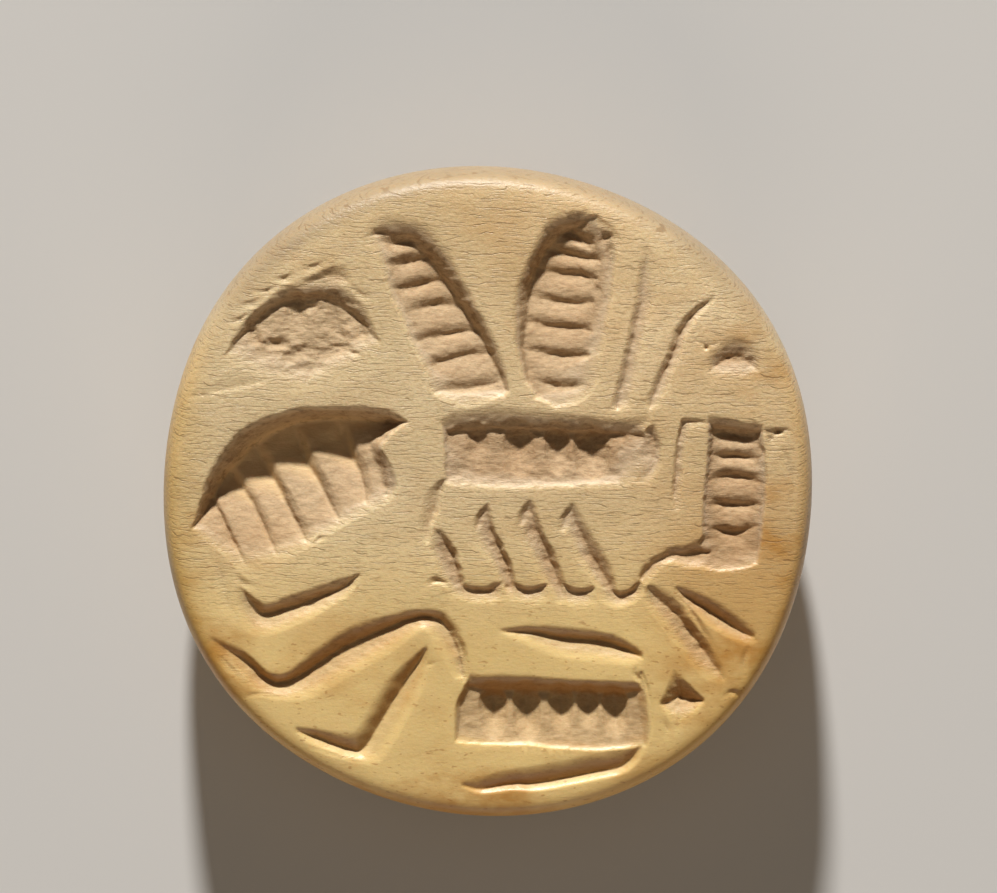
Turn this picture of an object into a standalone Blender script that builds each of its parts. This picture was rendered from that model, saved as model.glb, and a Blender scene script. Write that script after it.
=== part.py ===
"""A round bone seal amulet, carved on one face and pierced through a boss on its back.

The amulet lies on its boss with the carved face up. +Y is the top of the carved design.
Sizes below are in millimetres, and MM turns them into metres.
"""

import bmesh
import bpy
import numpy as np
from mathutils import Matrix, Vector

MM = 0.001

# Driving sizes of the plate
RADIUS = 15.07
PLATE = 4.8  # thickness at the shoulder of the rim
FACE_CROWN = 0.35  # how far the middle of the face stands above its shoulder
BACK_CROWN = 0.3
RIM_FLATNESS = 60  # a higher power keeps the face flat nearer to the rim
RIM_ROUNDNESS = 2.2
RINGS = 8
STEPS = 88
# The rim is not quite a circle: (waves round the rim, share of the radius, phase in degrees)
RIM_WAVES = ((2, 0.0045, -54.1), (3, 0.0011, 23.8), (4, 0.0101, 36.0), (6, 0.0018, 27.1))

# The boss on the back, with its cord hole along X
BOSS_HEIGHT = 3.6
BOSS_FOOT = (13.0, 8.5)
BOSS_FLARE = 1.14  # its root on the plate against its foot
BOSS_BEVEL = 0.5
HOLE_RADIUS = 1.1
HOLE_HEIGHT = 1.75

# The carved design as a whole sits a little nearer the top of the rim than it is drawn
DESIGN_RISE = 0.37

# Depths of the carving
LIFT = 0.45  # how far a cutter stands above the face
WALLED_DEPTH = 1.0
PLUME_DEPTH = 0.75
RIB_DEPTH = 1.0
TOOTH_DEPTH = 1.25
GROOVE_DEPTH = 0.5
SCRATCH_DEPTH = 0.22
SECTIONS = 9

BONE_COLOUR = (0.62, 0.47, 0.26, 1.0)
BONE_ROUGHNESS = 0.42


def rim_share(angle):
    """The rim's distance from the middle at an angle, as a share of RADIUS."""
    share = 1.0
    for waves, size, phase in RIM_WAVES:
        share = share + size * np.cos(waves * (angle - np.radians(phase)))
    return share


def rim_middle():
    """The middle of the rim's bounding rectangle, which becomes the amulet's axis."""
    angle = np.linspace(0, 2 * np.pi, 2880, endpoint=False)
    x = RADIUS * rim_share(angle) * np.cos(angle)
    y = RADIUS * rim_share(angle) * np.sin(angle)
    return (x.min() + x.max()) / 2, (y.min() + y.max()) / 2


MIDDLE_X, MIDDLE_Y = rim_middle()


def half_thickness(share):
    """Half of the plate's thickness at a share of the way out, without its crowns."""
    return PLATE / 2 * (1 - share**RIM_FLATNESS) ** (1 / RIM_ROUNDNESS)


def face_height(x, y):
    """The height of the uncarved face over a point of the design."""
    share = min(1.0, np.hypot(x, y) / (RADIUS * rim_share(np.arctan2(y, x))))
    return BOSS_HEIGHT + PLATE / 2 + half_thickness(share) + FACE_CROWN * (1 - share**2)


def place(x, y, z):
    """A point of the design as a point of the model, in metres."""
    return Vector((x - MIDDLE_X, y - MIDDLE_Y, z)) * MM


def collection(name):
    made = bpy.data.collections.new(name)
    bpy.context.scene.collection.children.link(made)
    return made


def add_object(name, mesh, home):
    made = bpy.data.objects.new(name, mesh)
    home.objects.link(made)
    return made


def finish_mesh(name, shape):
    """A mesh from a bmesh whose faces are turned outwards first."""
    bmesh.ops.triangulate(shape, faces=shape.faces)
    bmesh.ops.recalc_face_normals(shape, faces=shape.faces)
    mesh = bpy.data.meshes.new(name)
    shape.to_mesh(mesh)
    shape.free()
    return mesh


def add_cutter(name, shape, cutters):
    made = add_object(name, finish_mesh(name, shape), cutters)
    made.display_type = "WIRE"
    made.hide_render = True
    return made


def line_through(points, count):
    """A smooth line through a few points, as evenly spaced points along it."""
    p = np.array(points, float)
    p = np.vstack([2 * p[0] - p[1], p, 2 * p[-1] - p[-2]])
    t = np.linspace(0, 1, 12, endpoint=False)[:, None]
    parts = []
    for a, b, c, d in zip(p[:-3], p[1:-2], p[2:-1], p[3:]):
        bend = (c - a) * t + (2 * a - 5 * b + 4 * c - d) * t**2 + (3 * b - a - 3 * c + d) * t**3
        parts.append(b + bend / 2)
    fine = np.vstack(parts + [p[-2:-1]])
    run = np.concatenate([[0], np.cumsum(np.linalg.norm(np.diff(fine, axis=0), axis=1))])
    at = np.linspace(0, run[-1], count)
    return np.column_stack([np.interp(at, run, fine[:, 0]), np.interp(at, run, fine[:, 1])])


def groove(name, cutters, edge, foot, ramp, depth, fade=(0.25, 0.25), sections=SECTIONS):
    """Cuts between an edge and a ramp's end, deepest along the foot of the wall.

    Each section is a triangle: the wall's line carried up above the face, the foot, and
    the ramp's line carried up above the face. The depth fades over a share of each end.
    """
    shape = bmesh.new()
    lines = [line_through(line, sections) + (0, DESIGN_RISE) for line in (edge, foot, ramp)]
    rows = []
    for i, (wall, low, far) in enumerate(zip(*lines)):
        share = i / (sections - 1)
        start = 1.0 if not fade[0] else min(1.0, share / fade[0])
        end = 1.0 if not fade[1] else min(1.0, (1 - share) / fade[1])
        here = depth * max(0.06, np.sin(np.pi / 2 * min(start, end)))
        reach = 1 + LIFT / max(here, 0.15)
        top = [low + (side - low) * reach for side in (wall, far)]
        points = [(*top[0], face_height(*wall) + LIFT), (*low, face_height(*low) - here)]
        points.append((*top[1], face_height(*far) + LIFT))
        rows.append([shape.verts.new(place(*point)) for point in points])
    for row, following in zip(rows, rows[1:]):
        for side in range(3):
            after = (side + 1) % 3
            shape.faces.new((row[side], row[after], following[after], following[side]))
    shape.faces.new(rows[0])
    shape.faces.new(reversed(rows[-1]))
    return add_cutter(name, shape, cutters)


def gouge(name, cutters, start, end, width, depth):
    """One boat-shaped stroke of a round gouge between two points."""
    shape = bmesh.new()
    bmesh.ops.create_uvsphere(shape, u_segments=10, v_segments=6, radius=1.0)
    a, b = np.array(start, float), np.array(end, float)
    middle = (a + b) / 2 + (0, DESIGN_RISE)
    size = (np.linalg.norm(b - a) / 2, width / 2, depth)
    scale = Matrix.Diagonal((*size, 1.0))
    turn = Matrix.Rotation(np.arctan2(b[1] - a[1], b[0] - a[0]), 4, "Z")
    move = Matrix.Translation(Vector((*middle, face_height(*middle))))
    shape.transform(move @ turn @ scale)
    for vert in shape.verts:
        vert.co = place(*vert.co)
    return add_cutter(name, shape, cutters)


def slot_cut(name, cutters, start, end, width, depth, steep=0.3, fade=(0.3, 0.3), bend=0.0):
    """A groove whose steep side lies to the left of travel; bend bows it that way."""
    a, b = np.array(start, float), np.array(end, float)
    along = (b - a) / np.linalg.norm(b - a)
    left = np.array((-along[1], along[0]))
    middle = (a + b) / 2 + left * bend
    spine = [a, middle, b]
    edge = [p + left * width * steep for p in spine]
    ramp = [p - left * width * (1 - steep) for p in spine]
    return groove(name, cutters, edge, spine, ramp, depth, fade, sections=5)


def carve_plumes(cutters):
    """Two leaning plumes: a walled leaf each, with ribs across it."""
    groove(
        "left_plume", cutters,
        [(-5.2, 12.7), (-2.7, 12.0), (-0.9, 9.1), (0.6, 6.4), (0.8, 4.6)],
        [(-4.6, 11.9), (-2.7, 10.6), (-1.2, 8.4), (0.0, 6.4), (0.3, 4.7)],
        [(-5.2, 12.0), (-4.2, 9.6), (-3.4, 7.4), (-2.5, 5.5), (-2.2, 4.3)],
        PLUME_DEPTH,
    )
    ribs = 6
    for k in range(ribs):
        share = k / (ribs - 1)
        left = (-4.6 + 2.2 * share, 10.4 - 5.8 * share)
        right = (-2.2 + 2.4 * share, 11.2 - 5.8 * share)
        slot_cut(f"left_plume_rib_{k + 1}", cutters, left, right, 1.2, RIB_DEPTH)
    groove(
        "right_plume", cutters,
        [(4.6, 13.0), (2.4, 12.0), (1.4, 9.6), (1.2, 7.4), (1.6, 4.8)],
        [(4.5, 12.2), (3.0, 11.2), (2.1, 9.6), (1.8, 7.4), (2.0, 5.0)],
        [(5.9, 12.0), (5.8, 10.6), (5.2, 9.0), (5.0, 7.0), (4.1, 4.6)],
        PLUME_DEPTH,
    )
    for k in range(ribs):
        share = k / (ribs - 1)
        left = (2.3 - 0.6 * share, 11.2 - 5.9 * share)
        right = (5.5 - 1.1 * share, 10.8 - 5.9 * share)
        slot_cut(f"right_plume_rib_{k + 1}", cutters, left, right, 1.2, RIB_DEPTH)
    gouge("right_plume_tip", cutters, (5.2, 12.2), (5.8, 10.9), 0.7, PLUME_DEPTH)


def carve_loaf(cutters):
    """The low mound at the upper left, in a hollow with a domed upper wall."""
    groove(
        "loaf", cutters,
        [(-11.8, 6.6), (-10.5, 8.5), (-8.3, 10.0), (-6.3, 9.3), (-5.1, 7.0)],
        [(-11.1, 6.7), (-10.0, 8.1), (-8.3, 8.9), (-6.6, 8.5), (-5.5, 7.1)],
        [(-11.7, 5.6), (-10.4, 4.9), (-8.3, 5.1), (-6.7, 5.6), (-5.3, 6.7)],
        PLUME_DEPTH,
    )
    gouge("loaf_valley", cutters, (-8.6, 9.4), (-8.5, 6.4), 0.9, RIB_DEPTH)
    gouge("loaf_pit", cutters, (-10.1, 6.7), (-9.2, 6.8), 0.5, PLUME_DEPTH * 0.7)


def carve_leaf(cutters):
    """The big leaf at the left, with a row of tongues running down to its lower lip."""
    groove(
        "leaf", cutters,
        [(-13.4, -1.4), (-12.5, 1.3), (-10.6, 3.1), (-7.5, 3.9), (-4.2, 3.4)],
        [(-12.8, -1.3), (-11.4, 0.5), (-9.6, 1.7), (-7.2, 2.3), (-4.8, 2.1)],
        [(-12.9, -2.2), (-11.3, -4.0), (-8.6, -2.6), (-6.2, -1.1), (-4.4, -0.2)],
        WALLED_DEPTH, fade=(0.2, 0.08),
    )
    cuts = 5
    for k in range(cuts):
        share = k / (cuts - 1)
        top = (-12.2 + 6.2 * share, -0.2 + 2.4 * share)
        low = (-10.9 + 5.5 * share, -3.9 + 3.0 * share)
        gouge(f"leaf_groove_{k + 1}", cutters, top, low, 0.9, RIB_DEPTH)


def carve_bars(cutters):
    """The long single grooves of the lower half, each with a steep upper side."""
    groove(
        "bar_groove", cutters,
        [(-11.3, -4.2), (-10.3, -5.0), (-8.0, -4.35), (-6.0, -3.9)],
        [(-11.3, -4.6), (-10.3, -5.6), (-8.0, -5.0), (-6.1, -4.1)],
        [(-11.4, -5.0), (-10.3, -6.3), (-8.0, -5.7), (-6.0, -4.6)],
        GROOVE_DEPTH,
    )
    groove(
        "zigzag_left", cutters,
        [(-12.9, -6.6), (-11.4, -7.3), (-9.9, -8.5), (-9.6, -8.5)],
        [(-12.9, -6.9), (-11.5, -7.8), (-10.0, -8.9), (-9.6, -8.9)],
        [(-13.0, -7.2), (-11.7, -8.3), (-10.1, -9.4), (-9.6, -9.3)],
        GROOVE_DEPTH, fade=(0.3, 0),
    )
    groove(
        "zigzag_right", cutters,
        [(-9.9, -8.5), (-8.4, -7.5), (-6.5, -6.2), (-4.0, -5.5), (-2.3, -5.4)],
        [(-9.9, -8.9), (-8.2, -8.2), (-6.0, -7.0), (-4.0, -6.1), (-2.4, -5.7)],
        [(-9.9, -9.4), (-8.0, -8.7), (-5.7, -7.5), (-3.8, -6.6), (-2.6, -6.1)],
        GROOVE_DEPTH, fade=(0, 0),
    )
    groove(
        "zigzag_tail", cutters,
        [(-2.7, -5.3), (-1.3, -6.1), (-0.8, -7.4), (-0.6, -8.8)],
        [(-2.8, -5.6), (-1.8, -6.4), (-1.1, -7.6), (-0.9, -8.8)],
        [(-2.9, -5.9), (-2.2, -6.7), (-1.6, -7.7), (-1.4, -8.8)],
        GROOVE_DEPTH, fade=(0, 0.3),
    )
    slot_cut("hook_left", cutters, (-8.6, -10.95), (-5.8, -11.7), 1.3, GROOVE_DEPTH, fade=(0.5, 0))
    slot_cut("hook_right", cutters, (-5.9, -11.7), (-2.9, -7.2), 1.0, GROOVE_DEPTH, fade=(0, 0.5))
    groove(
        "lens_groove", cutters,
        [(0.4, -6.4), (2.3, -6.15), (5.0, -6.4), (7.1, -7.4)],
        [(0.7, -6.5), (2.7, -6.7), (5.2, -7.0), (7.1, -7.6)],
        [(0.6, -6.6), (2.7, -7.3), (5.0, -7.6), (7.1, -8.0)],
        GROOVE_DEPTH,
    )
    groove(
        "bottom_groove", cutters,
        [(-1.5, -13.5), (2.0, -12.8), (5.5, -12.3), (7.3, -11.7)],
        [(-1.3, -13.55), (2.0, -13.4), (5.3, -12.9), (7.2, -11.8)],
        [(-1.4, -13.7), (2.0, -13.8), (5.6, -13.2), (7.3, -12.0)],
        GROOVE_DEPTH,
    )
    slot_cut("wedge_outer", cutters, (8.8, -4.5), (12.4, -6.7), 1.1, GROOVE_DEPTH, bend=0.15)
    slot_cut("wedge_inner", cutters, (7.3, -4.3), (10.9, -8.5), 1.3, GROOVE_DEPTH, bend=0.15)


def carve_band(name, cutters, left, right, top, foot, low, teeth):
    """A long hollow with an upright upper wall and teeth standing along it."""
    groove(
        name, cutters,
        [(left, top), ((left + right) / 2, top), (right, top - 0.2)],
        [(left + 0.3, foot), ((left + right) / 2, foot), (right - 0.2, foot)],
        [(left, low), ((left + right) / 2, low - 0.1), (right, low)],
        WALLED_DEPTH, fade=(0, 0), sections=5,
    )
    for k, x in enumerate(teeth):
        start, end = (x, foot + 1.0), (x, low + 0.5)
        gouge(f"{name}_tooth_{k + 1}", cutters, start, end, 1.1, TOOTH_DEPTH)


def carve_comb(cutters):
    """The comb below the middle band: rounded tongues parted by slanting cuts."""
    slot_cut("comb_side", cutters, (-2.7, -3.0), (-1.8, 0.7), 0.6, GROOVE_DEPTH * 0.7, bend=0.5)
    tongues = 3
    for k in range(tongues):
        apex, foot = 0.1 + 1.95 * k, 1.1 + 2.4 * k
        gouge(f"comb_head_{k + 1}", cutters, (apex, -0.3), (apex - 0.7, -1.7), 0.4, GROOVE_DEPTH)
        slot_cut(
            f"comb_cut_{k + 1}", cutters, (foot, -4.3), (apex, -0.6), 0.8, GROOVE_DEPTH,
            steep=0.6, fade=(0.2, 0.4),
        )
    ends = 4
    for k in range(ends):
        x, half = -0.4 + 2.2 * k, 0.85 - 0.08 * k
        slot_cut(
            f"comb_end_{k + 1}", cutters, (x - half, -4.25), (x + half, -4.25), 0.6,
            GROOVE_DEPTH, steep=0.4, bend=-0.35,
        )
    slot_cut("comb_left", cutters, (-1.1, -4.2), (-2.1, -1.8), 0.5, GROOVE_DEPTH * 0.6, steep=0.6)


def carve_column(cutters):
    """The upright column at the right, crossed by rungs, and the step below it."""
    groove(
        "column", cutters,
        [(10.1, 3.35), (11.3, 3.45), (12.7, 3.1)],
        [(10.4, 2.7), (11.3, 2.7), (12.5, 2.5)],
        [(10.1, -3.2), (11.2, -3.4), (12.4, -3.0)],
        PLUME_DEPTH, fade=(0, 0), sections=4,
    )
    rungs = 4
    for k in range(rungs):
        y = 1.8 - 1.17 * k
        slot_cut(f"rung_{k + 1}", cutters, (10.0, y), (12.7, y - 0.1), 1.0, RIB_DEPTH)
    slot_cut("step", cutters, (6.6, -4.6), (10.4, -2.5), 1.2, GROOVE_DEPTH, steep=0.4, bend=0.35)
    slot_cut("post_groove", cutters, (8.8, -0.7), (9.0, 3.4), 0.5, SCRATCH_DEPTH, steep=0.6)


def carve_marks(cutters):
    """The small cuts: two thin grooves, a hump and a triangle."""
    slot_cut("thin_left", cutters, (5.9, 3.8), (7.3, 11.0), 0.6, SCRATCH_DEPTH, bend=-0.2)
    slot_cut("thin_right", cutters, (7.2, 3.3), (10.4, 8.9), 0.7, SCRATCH_DEPTH, bend=0.2)
    slot_cut("hump", cutters, (10.2, 6.0), (12.5, 6.0), 1.2, GROOVE_DEPTH * 0.8, bend=0.5)
    slot_cut("triangle_left", cutters, (8.1, -9.8), (8.6, -8.2), 0.8, GROOVE_DEPTH, bend=0.1)
    slot_cut("triangle_right", cutters, (8.7, -8.2), (9.9, -9.7), 0.8, GROOVE_DEPTH, bend=0.1)


def turned_plate():
    """The plate: a half profile turned by a Screw, then given the rim's true outline."""
    share = 1 - (1 - np.linspace(0, 1, RINGS + 1)) ** 2.6
    above = [
        (RADIUS * s, PLATE / 2 + half_thickness(s) + FACE_CROWN * (1 - s**2)) for s in share
    ]
    below = [
        (RADIUS * s, PLATE / 2 - half_thickness(s) - BACK_CROWN * (1 - s**2))
        for s in share[-2::-1]
    ]
    profile = above + below
    mesh = bpy.data.meshes.new("profile")
    points = [(x * MM, 0, (BOSS_HEIGHT + z) * MM) for x, z in profile]
    edges = [(i, i + 1) for i in range(len(profile) - 1)]
    mesh.from_pydata(points, edges, [])
    guide = add_object("profile", mesh, bpy.context.scene.collection)
    turn = guide.modifiers.new("turn", "SCREW")
    turn.steps = turn.render_steps = STEPS
    turn.use_merge_vertices = True
    turn.merge_threshold = 0.00001
    bpy.context.view_layer.update()
    turned = guide.evaluated_get(bpy.context.evaluated_depsgraph_get())
    plate = bpy.data.meshes.new_from_object(turned)
    bpy.data.objects.remove(guide)
    for vert in plate.vertices:
        x, y, z = np.array(vert.co) / MM
        share = rim_share(np.arctan2(y, x))
        vert.co = place(x * share, y * share, z)
    return plate


def boss(cutters):
    """The boss: an oval block, wider at its root, with a rounded foot."""
    shape = bmesh.new()
    overlap = 1.0  # how far it runs into the plate, so that the two join
    height = BOSS_HEIGHT + overlap
    bmesh.ops.create_cone(
        shape, cap_ends=True, segments=40, radius1=0.5, radius2=0.5 * BOSS_FLARE, depth=height
    )
    foot = [f for f in shape.faces if f.normal.z < -0.9]
    edges = [e for f in foot for e in f.edges]
    size = Matrix.Diagonal((BOSS_FOOT[0] * MM, BOSS_FOOT[1] * MM, MM, 1.0))
    shape.transform(size @ Matrix.Translation((0, 0, height / 2)))
    bmesh.ops.bevel(
        shape, geom=edges, offset=BOSS_BEVEL * MM, segments=3, profile=0.5, affect="EDGES"
    )
    return add_cutter("boss", shape, cutters)


def cord_hole(cutters):
    """A straight drilled hole along X through the boss."""
    shape = bmesh.new()
    bmesh.ops.create_cone(
        shape, cap_ends=True, segments=24, radius1=HOLE_RADIUS, radius2=HOLE_RADIUS,
        depth=BOSS_FOOT[0] * BOSS_FLARE + 4,
    )
    turn = Matrix.Rotation(np.pi / 2, 4, "Y")
    shape.transform(Matrix.Translation((0, 0, HOLE_HEIGHT)) @ turn)
    shape.transform(Matrix.Scale(MM, 4))
    return add_cutter("cord_hole", shape, cutters)


def boolean(target, name, operation, operand):
    step = target.modifiers.new(name, "BOOLEAN")
    step.solver = "EXACT"
    step.operation = operation
    if isinstance(operand, bpy.types.Collection):
        step.operand_type = "COLLECTION"
        step.collection = operand
    else:
        step.object = operand


def bone():
    material = bpy.data.materials.new("bone")
    material.use_nodes = True
    shader = material.node_tree.nodes["Principled BSDF"]
    shader.inputs["Base Color"].default_value = BONE_COLOUR
    shader.inputs["Roughness"].default_value = BONE_ROUGHNESS
    shader.inputs["Metallic"].default_value = 0.0
    return material


def main():
    for old in list(bpy.data.objects):
        bpy.data.objects.remove(old)
    amulet = collection("seal_amulet")
    cutters = collection("carving_cutters")
    joined = collection("boss_tools")

    seal = add_object("seal", turned_plate(), amulet)
    seal.data.materials.append(bone())

    carve_plumes(cutters)
    carve_loaf(cutters)
    carve_leaf(cutters)
    carve_bars(cutters)
    carve_band("middle_band", cutters, -2.3, 7.2, 3.75, 2.7, 0.6, (-0.45, 1.5, 3.25, 4.9))
    carve_band("lower_band", cutters, -1.0, 7.3, -8.55, -9.6, -11.6, (0.4, 1.85, 3.45, 4.75, 5.9))
    carve_comb(cutters)
    carve_column(cutters)
    carve_marks(cutters)

    boolean(seal, "add boss", "UNION", boss(joined))
    boolean(seal, "drill cord hole", "DIFFERENCE", cord_hole(joined))
    boolean(seal, "carve face", "DIFFERENCE", cutters)


main()
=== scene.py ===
# %% [markdown]
# # A carved bone seal amulet
# The real thing is one piece of bone: a round plate about 5 mm thick, with a low boss behind
# it that a cord once ran through. Its face was cut with a small gouge and a knife, then worn
# smooth by handling. This lesson makes it as one closed surface: every cut is a function of
# the place on the face, and the material reads how deep each point lies.

import bpy
import numpy as np
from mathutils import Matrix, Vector


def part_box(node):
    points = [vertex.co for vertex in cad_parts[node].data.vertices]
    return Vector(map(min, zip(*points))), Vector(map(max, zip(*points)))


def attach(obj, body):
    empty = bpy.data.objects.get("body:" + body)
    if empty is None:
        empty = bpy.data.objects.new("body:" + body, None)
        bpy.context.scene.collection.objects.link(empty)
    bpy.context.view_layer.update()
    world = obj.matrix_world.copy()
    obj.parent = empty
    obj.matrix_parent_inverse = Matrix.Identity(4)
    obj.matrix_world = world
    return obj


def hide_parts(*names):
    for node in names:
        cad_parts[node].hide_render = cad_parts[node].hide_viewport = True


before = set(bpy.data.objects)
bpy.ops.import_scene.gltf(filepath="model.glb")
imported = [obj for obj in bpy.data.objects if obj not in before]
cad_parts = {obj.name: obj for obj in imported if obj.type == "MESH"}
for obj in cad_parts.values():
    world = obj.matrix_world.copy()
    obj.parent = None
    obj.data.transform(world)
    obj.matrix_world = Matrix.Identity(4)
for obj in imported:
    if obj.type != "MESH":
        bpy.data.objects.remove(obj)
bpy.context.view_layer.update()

MM = 0.001
low, high = (np.array(corner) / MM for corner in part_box("seal"))
size = high - low
print(f"the amulet's box is {size[0]:.2f} x {size[1]:.2f} x {size[2]:.2f} mm")

# %% [markdown]
# ## The plate
# Turned on a lathe the plate would be a perfect disc. This one was ground by hand, so its
# rim swings a little in and out. A sum of a few cosines of the angle gives that outline, and
# a superellipse gives the rounded rim: a high power keeps the face flat almost to the edge.
# The outline is worked out round the design's own middle, then moved so that its bounding
# rectangle is centred on the frame.

# %% The outline and the profile
RADIUS = 15.07
BOSS_HEIGHT = 3.6
FACE_CROWN = 0.35
BACK_CROWN = 0.3
PLATE = size[2] - BOSS_HEIGHT - FACE_CROWN
RIM_FLATNESS = 60
RIM_ROUNDNESS = 2.2
RIM_WAVES = ((2, 0.0045, -54.1), (3, 0.0011, 23.8), (4, 0.0101, 36.0), (6, 0.0018, 27.1))


def rim_share(angle):
    """The rim's distance as a share of RADIUS: 1 + sum of size * cos(waves * (angle - phase))."""
    share = np.ones_like(angle)
    for waves, size_of_wave, phase in RIM_WAVES:
        share += size_of_wave * np.cos(waves * (angle - np.radians(phase)))
    return share


def profile(count=4000):
    """Half of the plate's section from its middle to its widest point, evenly along its length.

    height = PLATE / 2 * (1 - share ** RIM_FLATNESS) ** (1 / RIM_ROUNDNESS)
    """
    turn = np.linspace(0, np.pi / 2, count)
    share = np.sin(turn) ** (2 / RIM_FLATNESS)
    share = np.union1d(np.linspace(0, share[1], count // 4), share)
    height = PLATE / 2 * (1 - np.minimum(share, 1) ** RIM_FLATNESS) ** (1 / RIM_ROUNDNESS)
    step = np.hypot(np.diff(share * RADIUS), np.diff(height))
    length = np.concatenate([[0], np.cumsum(step)])
    return length / length[-1], share, height


ring = np.linspace(0, 2 * np.pi, 2880, endpoint=False)
outline = RADIUS * rim_share(ring) * np.stack([np.cos(ring), np.sin(ring)])
middle = (outline.max(axis=1) + outline.min(axis=1)) / 2
print("outline", np.round(np.ptp(outline, axis=1), 2), "mm, middle at", np.round(middle, 2))

# %% [markdown]
# ## Drawing on the face
# Every cut is drawn with a few points in millimetres, with the design's middle at zero. A
# Catmull-Rom curve joins them. What a cut needs to know of a place on the face is how far it
# is from each of its lines, on which side it lies, and how far along the line is nearest.
# The hand-held blade wanders, so the places are first nudged by a little smooth noise.

# %% Lines, distances and noise
CURVE_STEPS = 8


def line_through(points, smooth=True):
    """Catmull-Rom: each stretch is (2b + (c-a)t + (2a-5b+4c-d)t^2 + (3b-a-3c+d)t^3) / 2."""
    p = np.array(points, float)
    if not smooth or len(p) < 3:
        return p
    p = np.vstack([2 * p[0] - p[1], p, 2 * p[-1] - p[-2]])
    t = np.linspace(0, 1, CURVE_STEPS, endpoint=False)[:, None]
    parts = []
    for a, b, c, d in zip(p[:-3], p[1:-2], p[2:-1], p[3:]):
        bend = (c - a) * t + (2 * a - 5 * b + 4 * c - d) * t**2 + (3 * b - a - 3 * c + d) * t**3
        parts.append(b + bend / 2)
    return np.vstack(parts + [p[-2:-1]])


def nearest(x, y, line):
    """Distance to a line, its sign (positive on the left of travel) and the share along it."""
    start, step = line[:-1], np.diff(line, axis=0)
    length = np.hypot(*step.T)
    before = np.concatenate([[0], np.cumsum(length)])
    best = np.full(x.shape, np.inf)
    side, share = np.zeros_like(x), np.zeros_like(x)
    for (x0, y0), (dx, dy), long, passed in zip(start, step, length, before):
        t = np.clip(((x - x0) * dx + (y - y0) * dy) / (long**2 + 1e-12), 0, 1)
        ex, ey = x - x0 - t * dx, y - y0 - t * dy
        far = np.hypot(ex, ey)
        closer = far < best
        best = np.where(closer, far, best)
        side = np.where(closer, dx * ey - dy * ex, side)
        share = np.where(closer, (passed + t * long) / before[-1], share)
    return best, np.where(side < 0, -1.0, 1.0), share


def inside(x, y, loop):
    """Even-odd rule: a point is inside if a line from it crosses the loop an odd number of times."""
    odd = np.zeros(x.shape, bool)
    for (x0, y0), (x1, y1) in zip(loop, np.roll(loop, -1, axis=0)):
        if y0 != y1:
            crosses = (y0 > y) != (y1 > y)
            odd ^= crosses & (x < (x1 - x0) * (y - y0) / (y1 - y0) + x0)
    return odd


def noise(x, y, wide, high, seed, layers=1):
    """Value noise from -1 to 1: random numbers on a lattice, blended by t*t*(3-2t) between.

    Its cells are wide by high millimetres. Each further layer is half as strong and has cells
    half as large.
    """
    total, weight, scale = 0.0, 0.0, 1.0
    for layer in range(layers):
        table = np.random.default_rng(seed + layer).uniform(-1, 1, (128, 128))
        u, v = x / wide / scale + 64.5 + 7 * layer, y / high / scale + 64.5
        i, j = np.floor(u).astype(int), np.floor(v).astype(int)
        s, t = u - i, v - j
        s, t = s * s * (3 - 2 * s), t * t * (3 - 2 * t)
        i, j, i1, j1 = i % 128, j % 128, (i + 1) % 128, (j + 1) % 128
        lower = table[i, j] * (1 - s) + table[i1, j] * s
        upper = table[i, j1] * (1 - s) + table[i1, j1] * s
        total = total + scale * (lower * (1 - t) + upper * t)
        weight += scale
        scale /= 2
    return total / weight


def ease(low_end, high_end, value):
    """A smooth step: 0 up to low_end, 1 from high_end on, t*t*(3-2t) between."""
    t = np.clip((value - low_end) / (high_end - low_end), 0, 1)
    return t * t * (3 - 2 * t)


bend = line_through([(0, 0), (1, 1), (2, 0)])
print(f"a curve through 3 points has {len(bend)} points and rises to {bend[:, 1].max():.2f}")

# %% [markdown]
# ## One cut
# The blade went in on the upper side and came out on the lower one, so nearly every cut has
# a steep wall, a sharp crease where the wall ends, and a long ramp back up to the face. One
# function makes them all. It takes three lines: the wall's edge, the crease and the ramp's
# end. Depth grows from the edge to the crease and falls away again towards the end. Finer
# strokes inside a cut are V-shaped and are added to what is already there. Where a hollow
# ends in an upright side, a fence stops it short.

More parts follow.
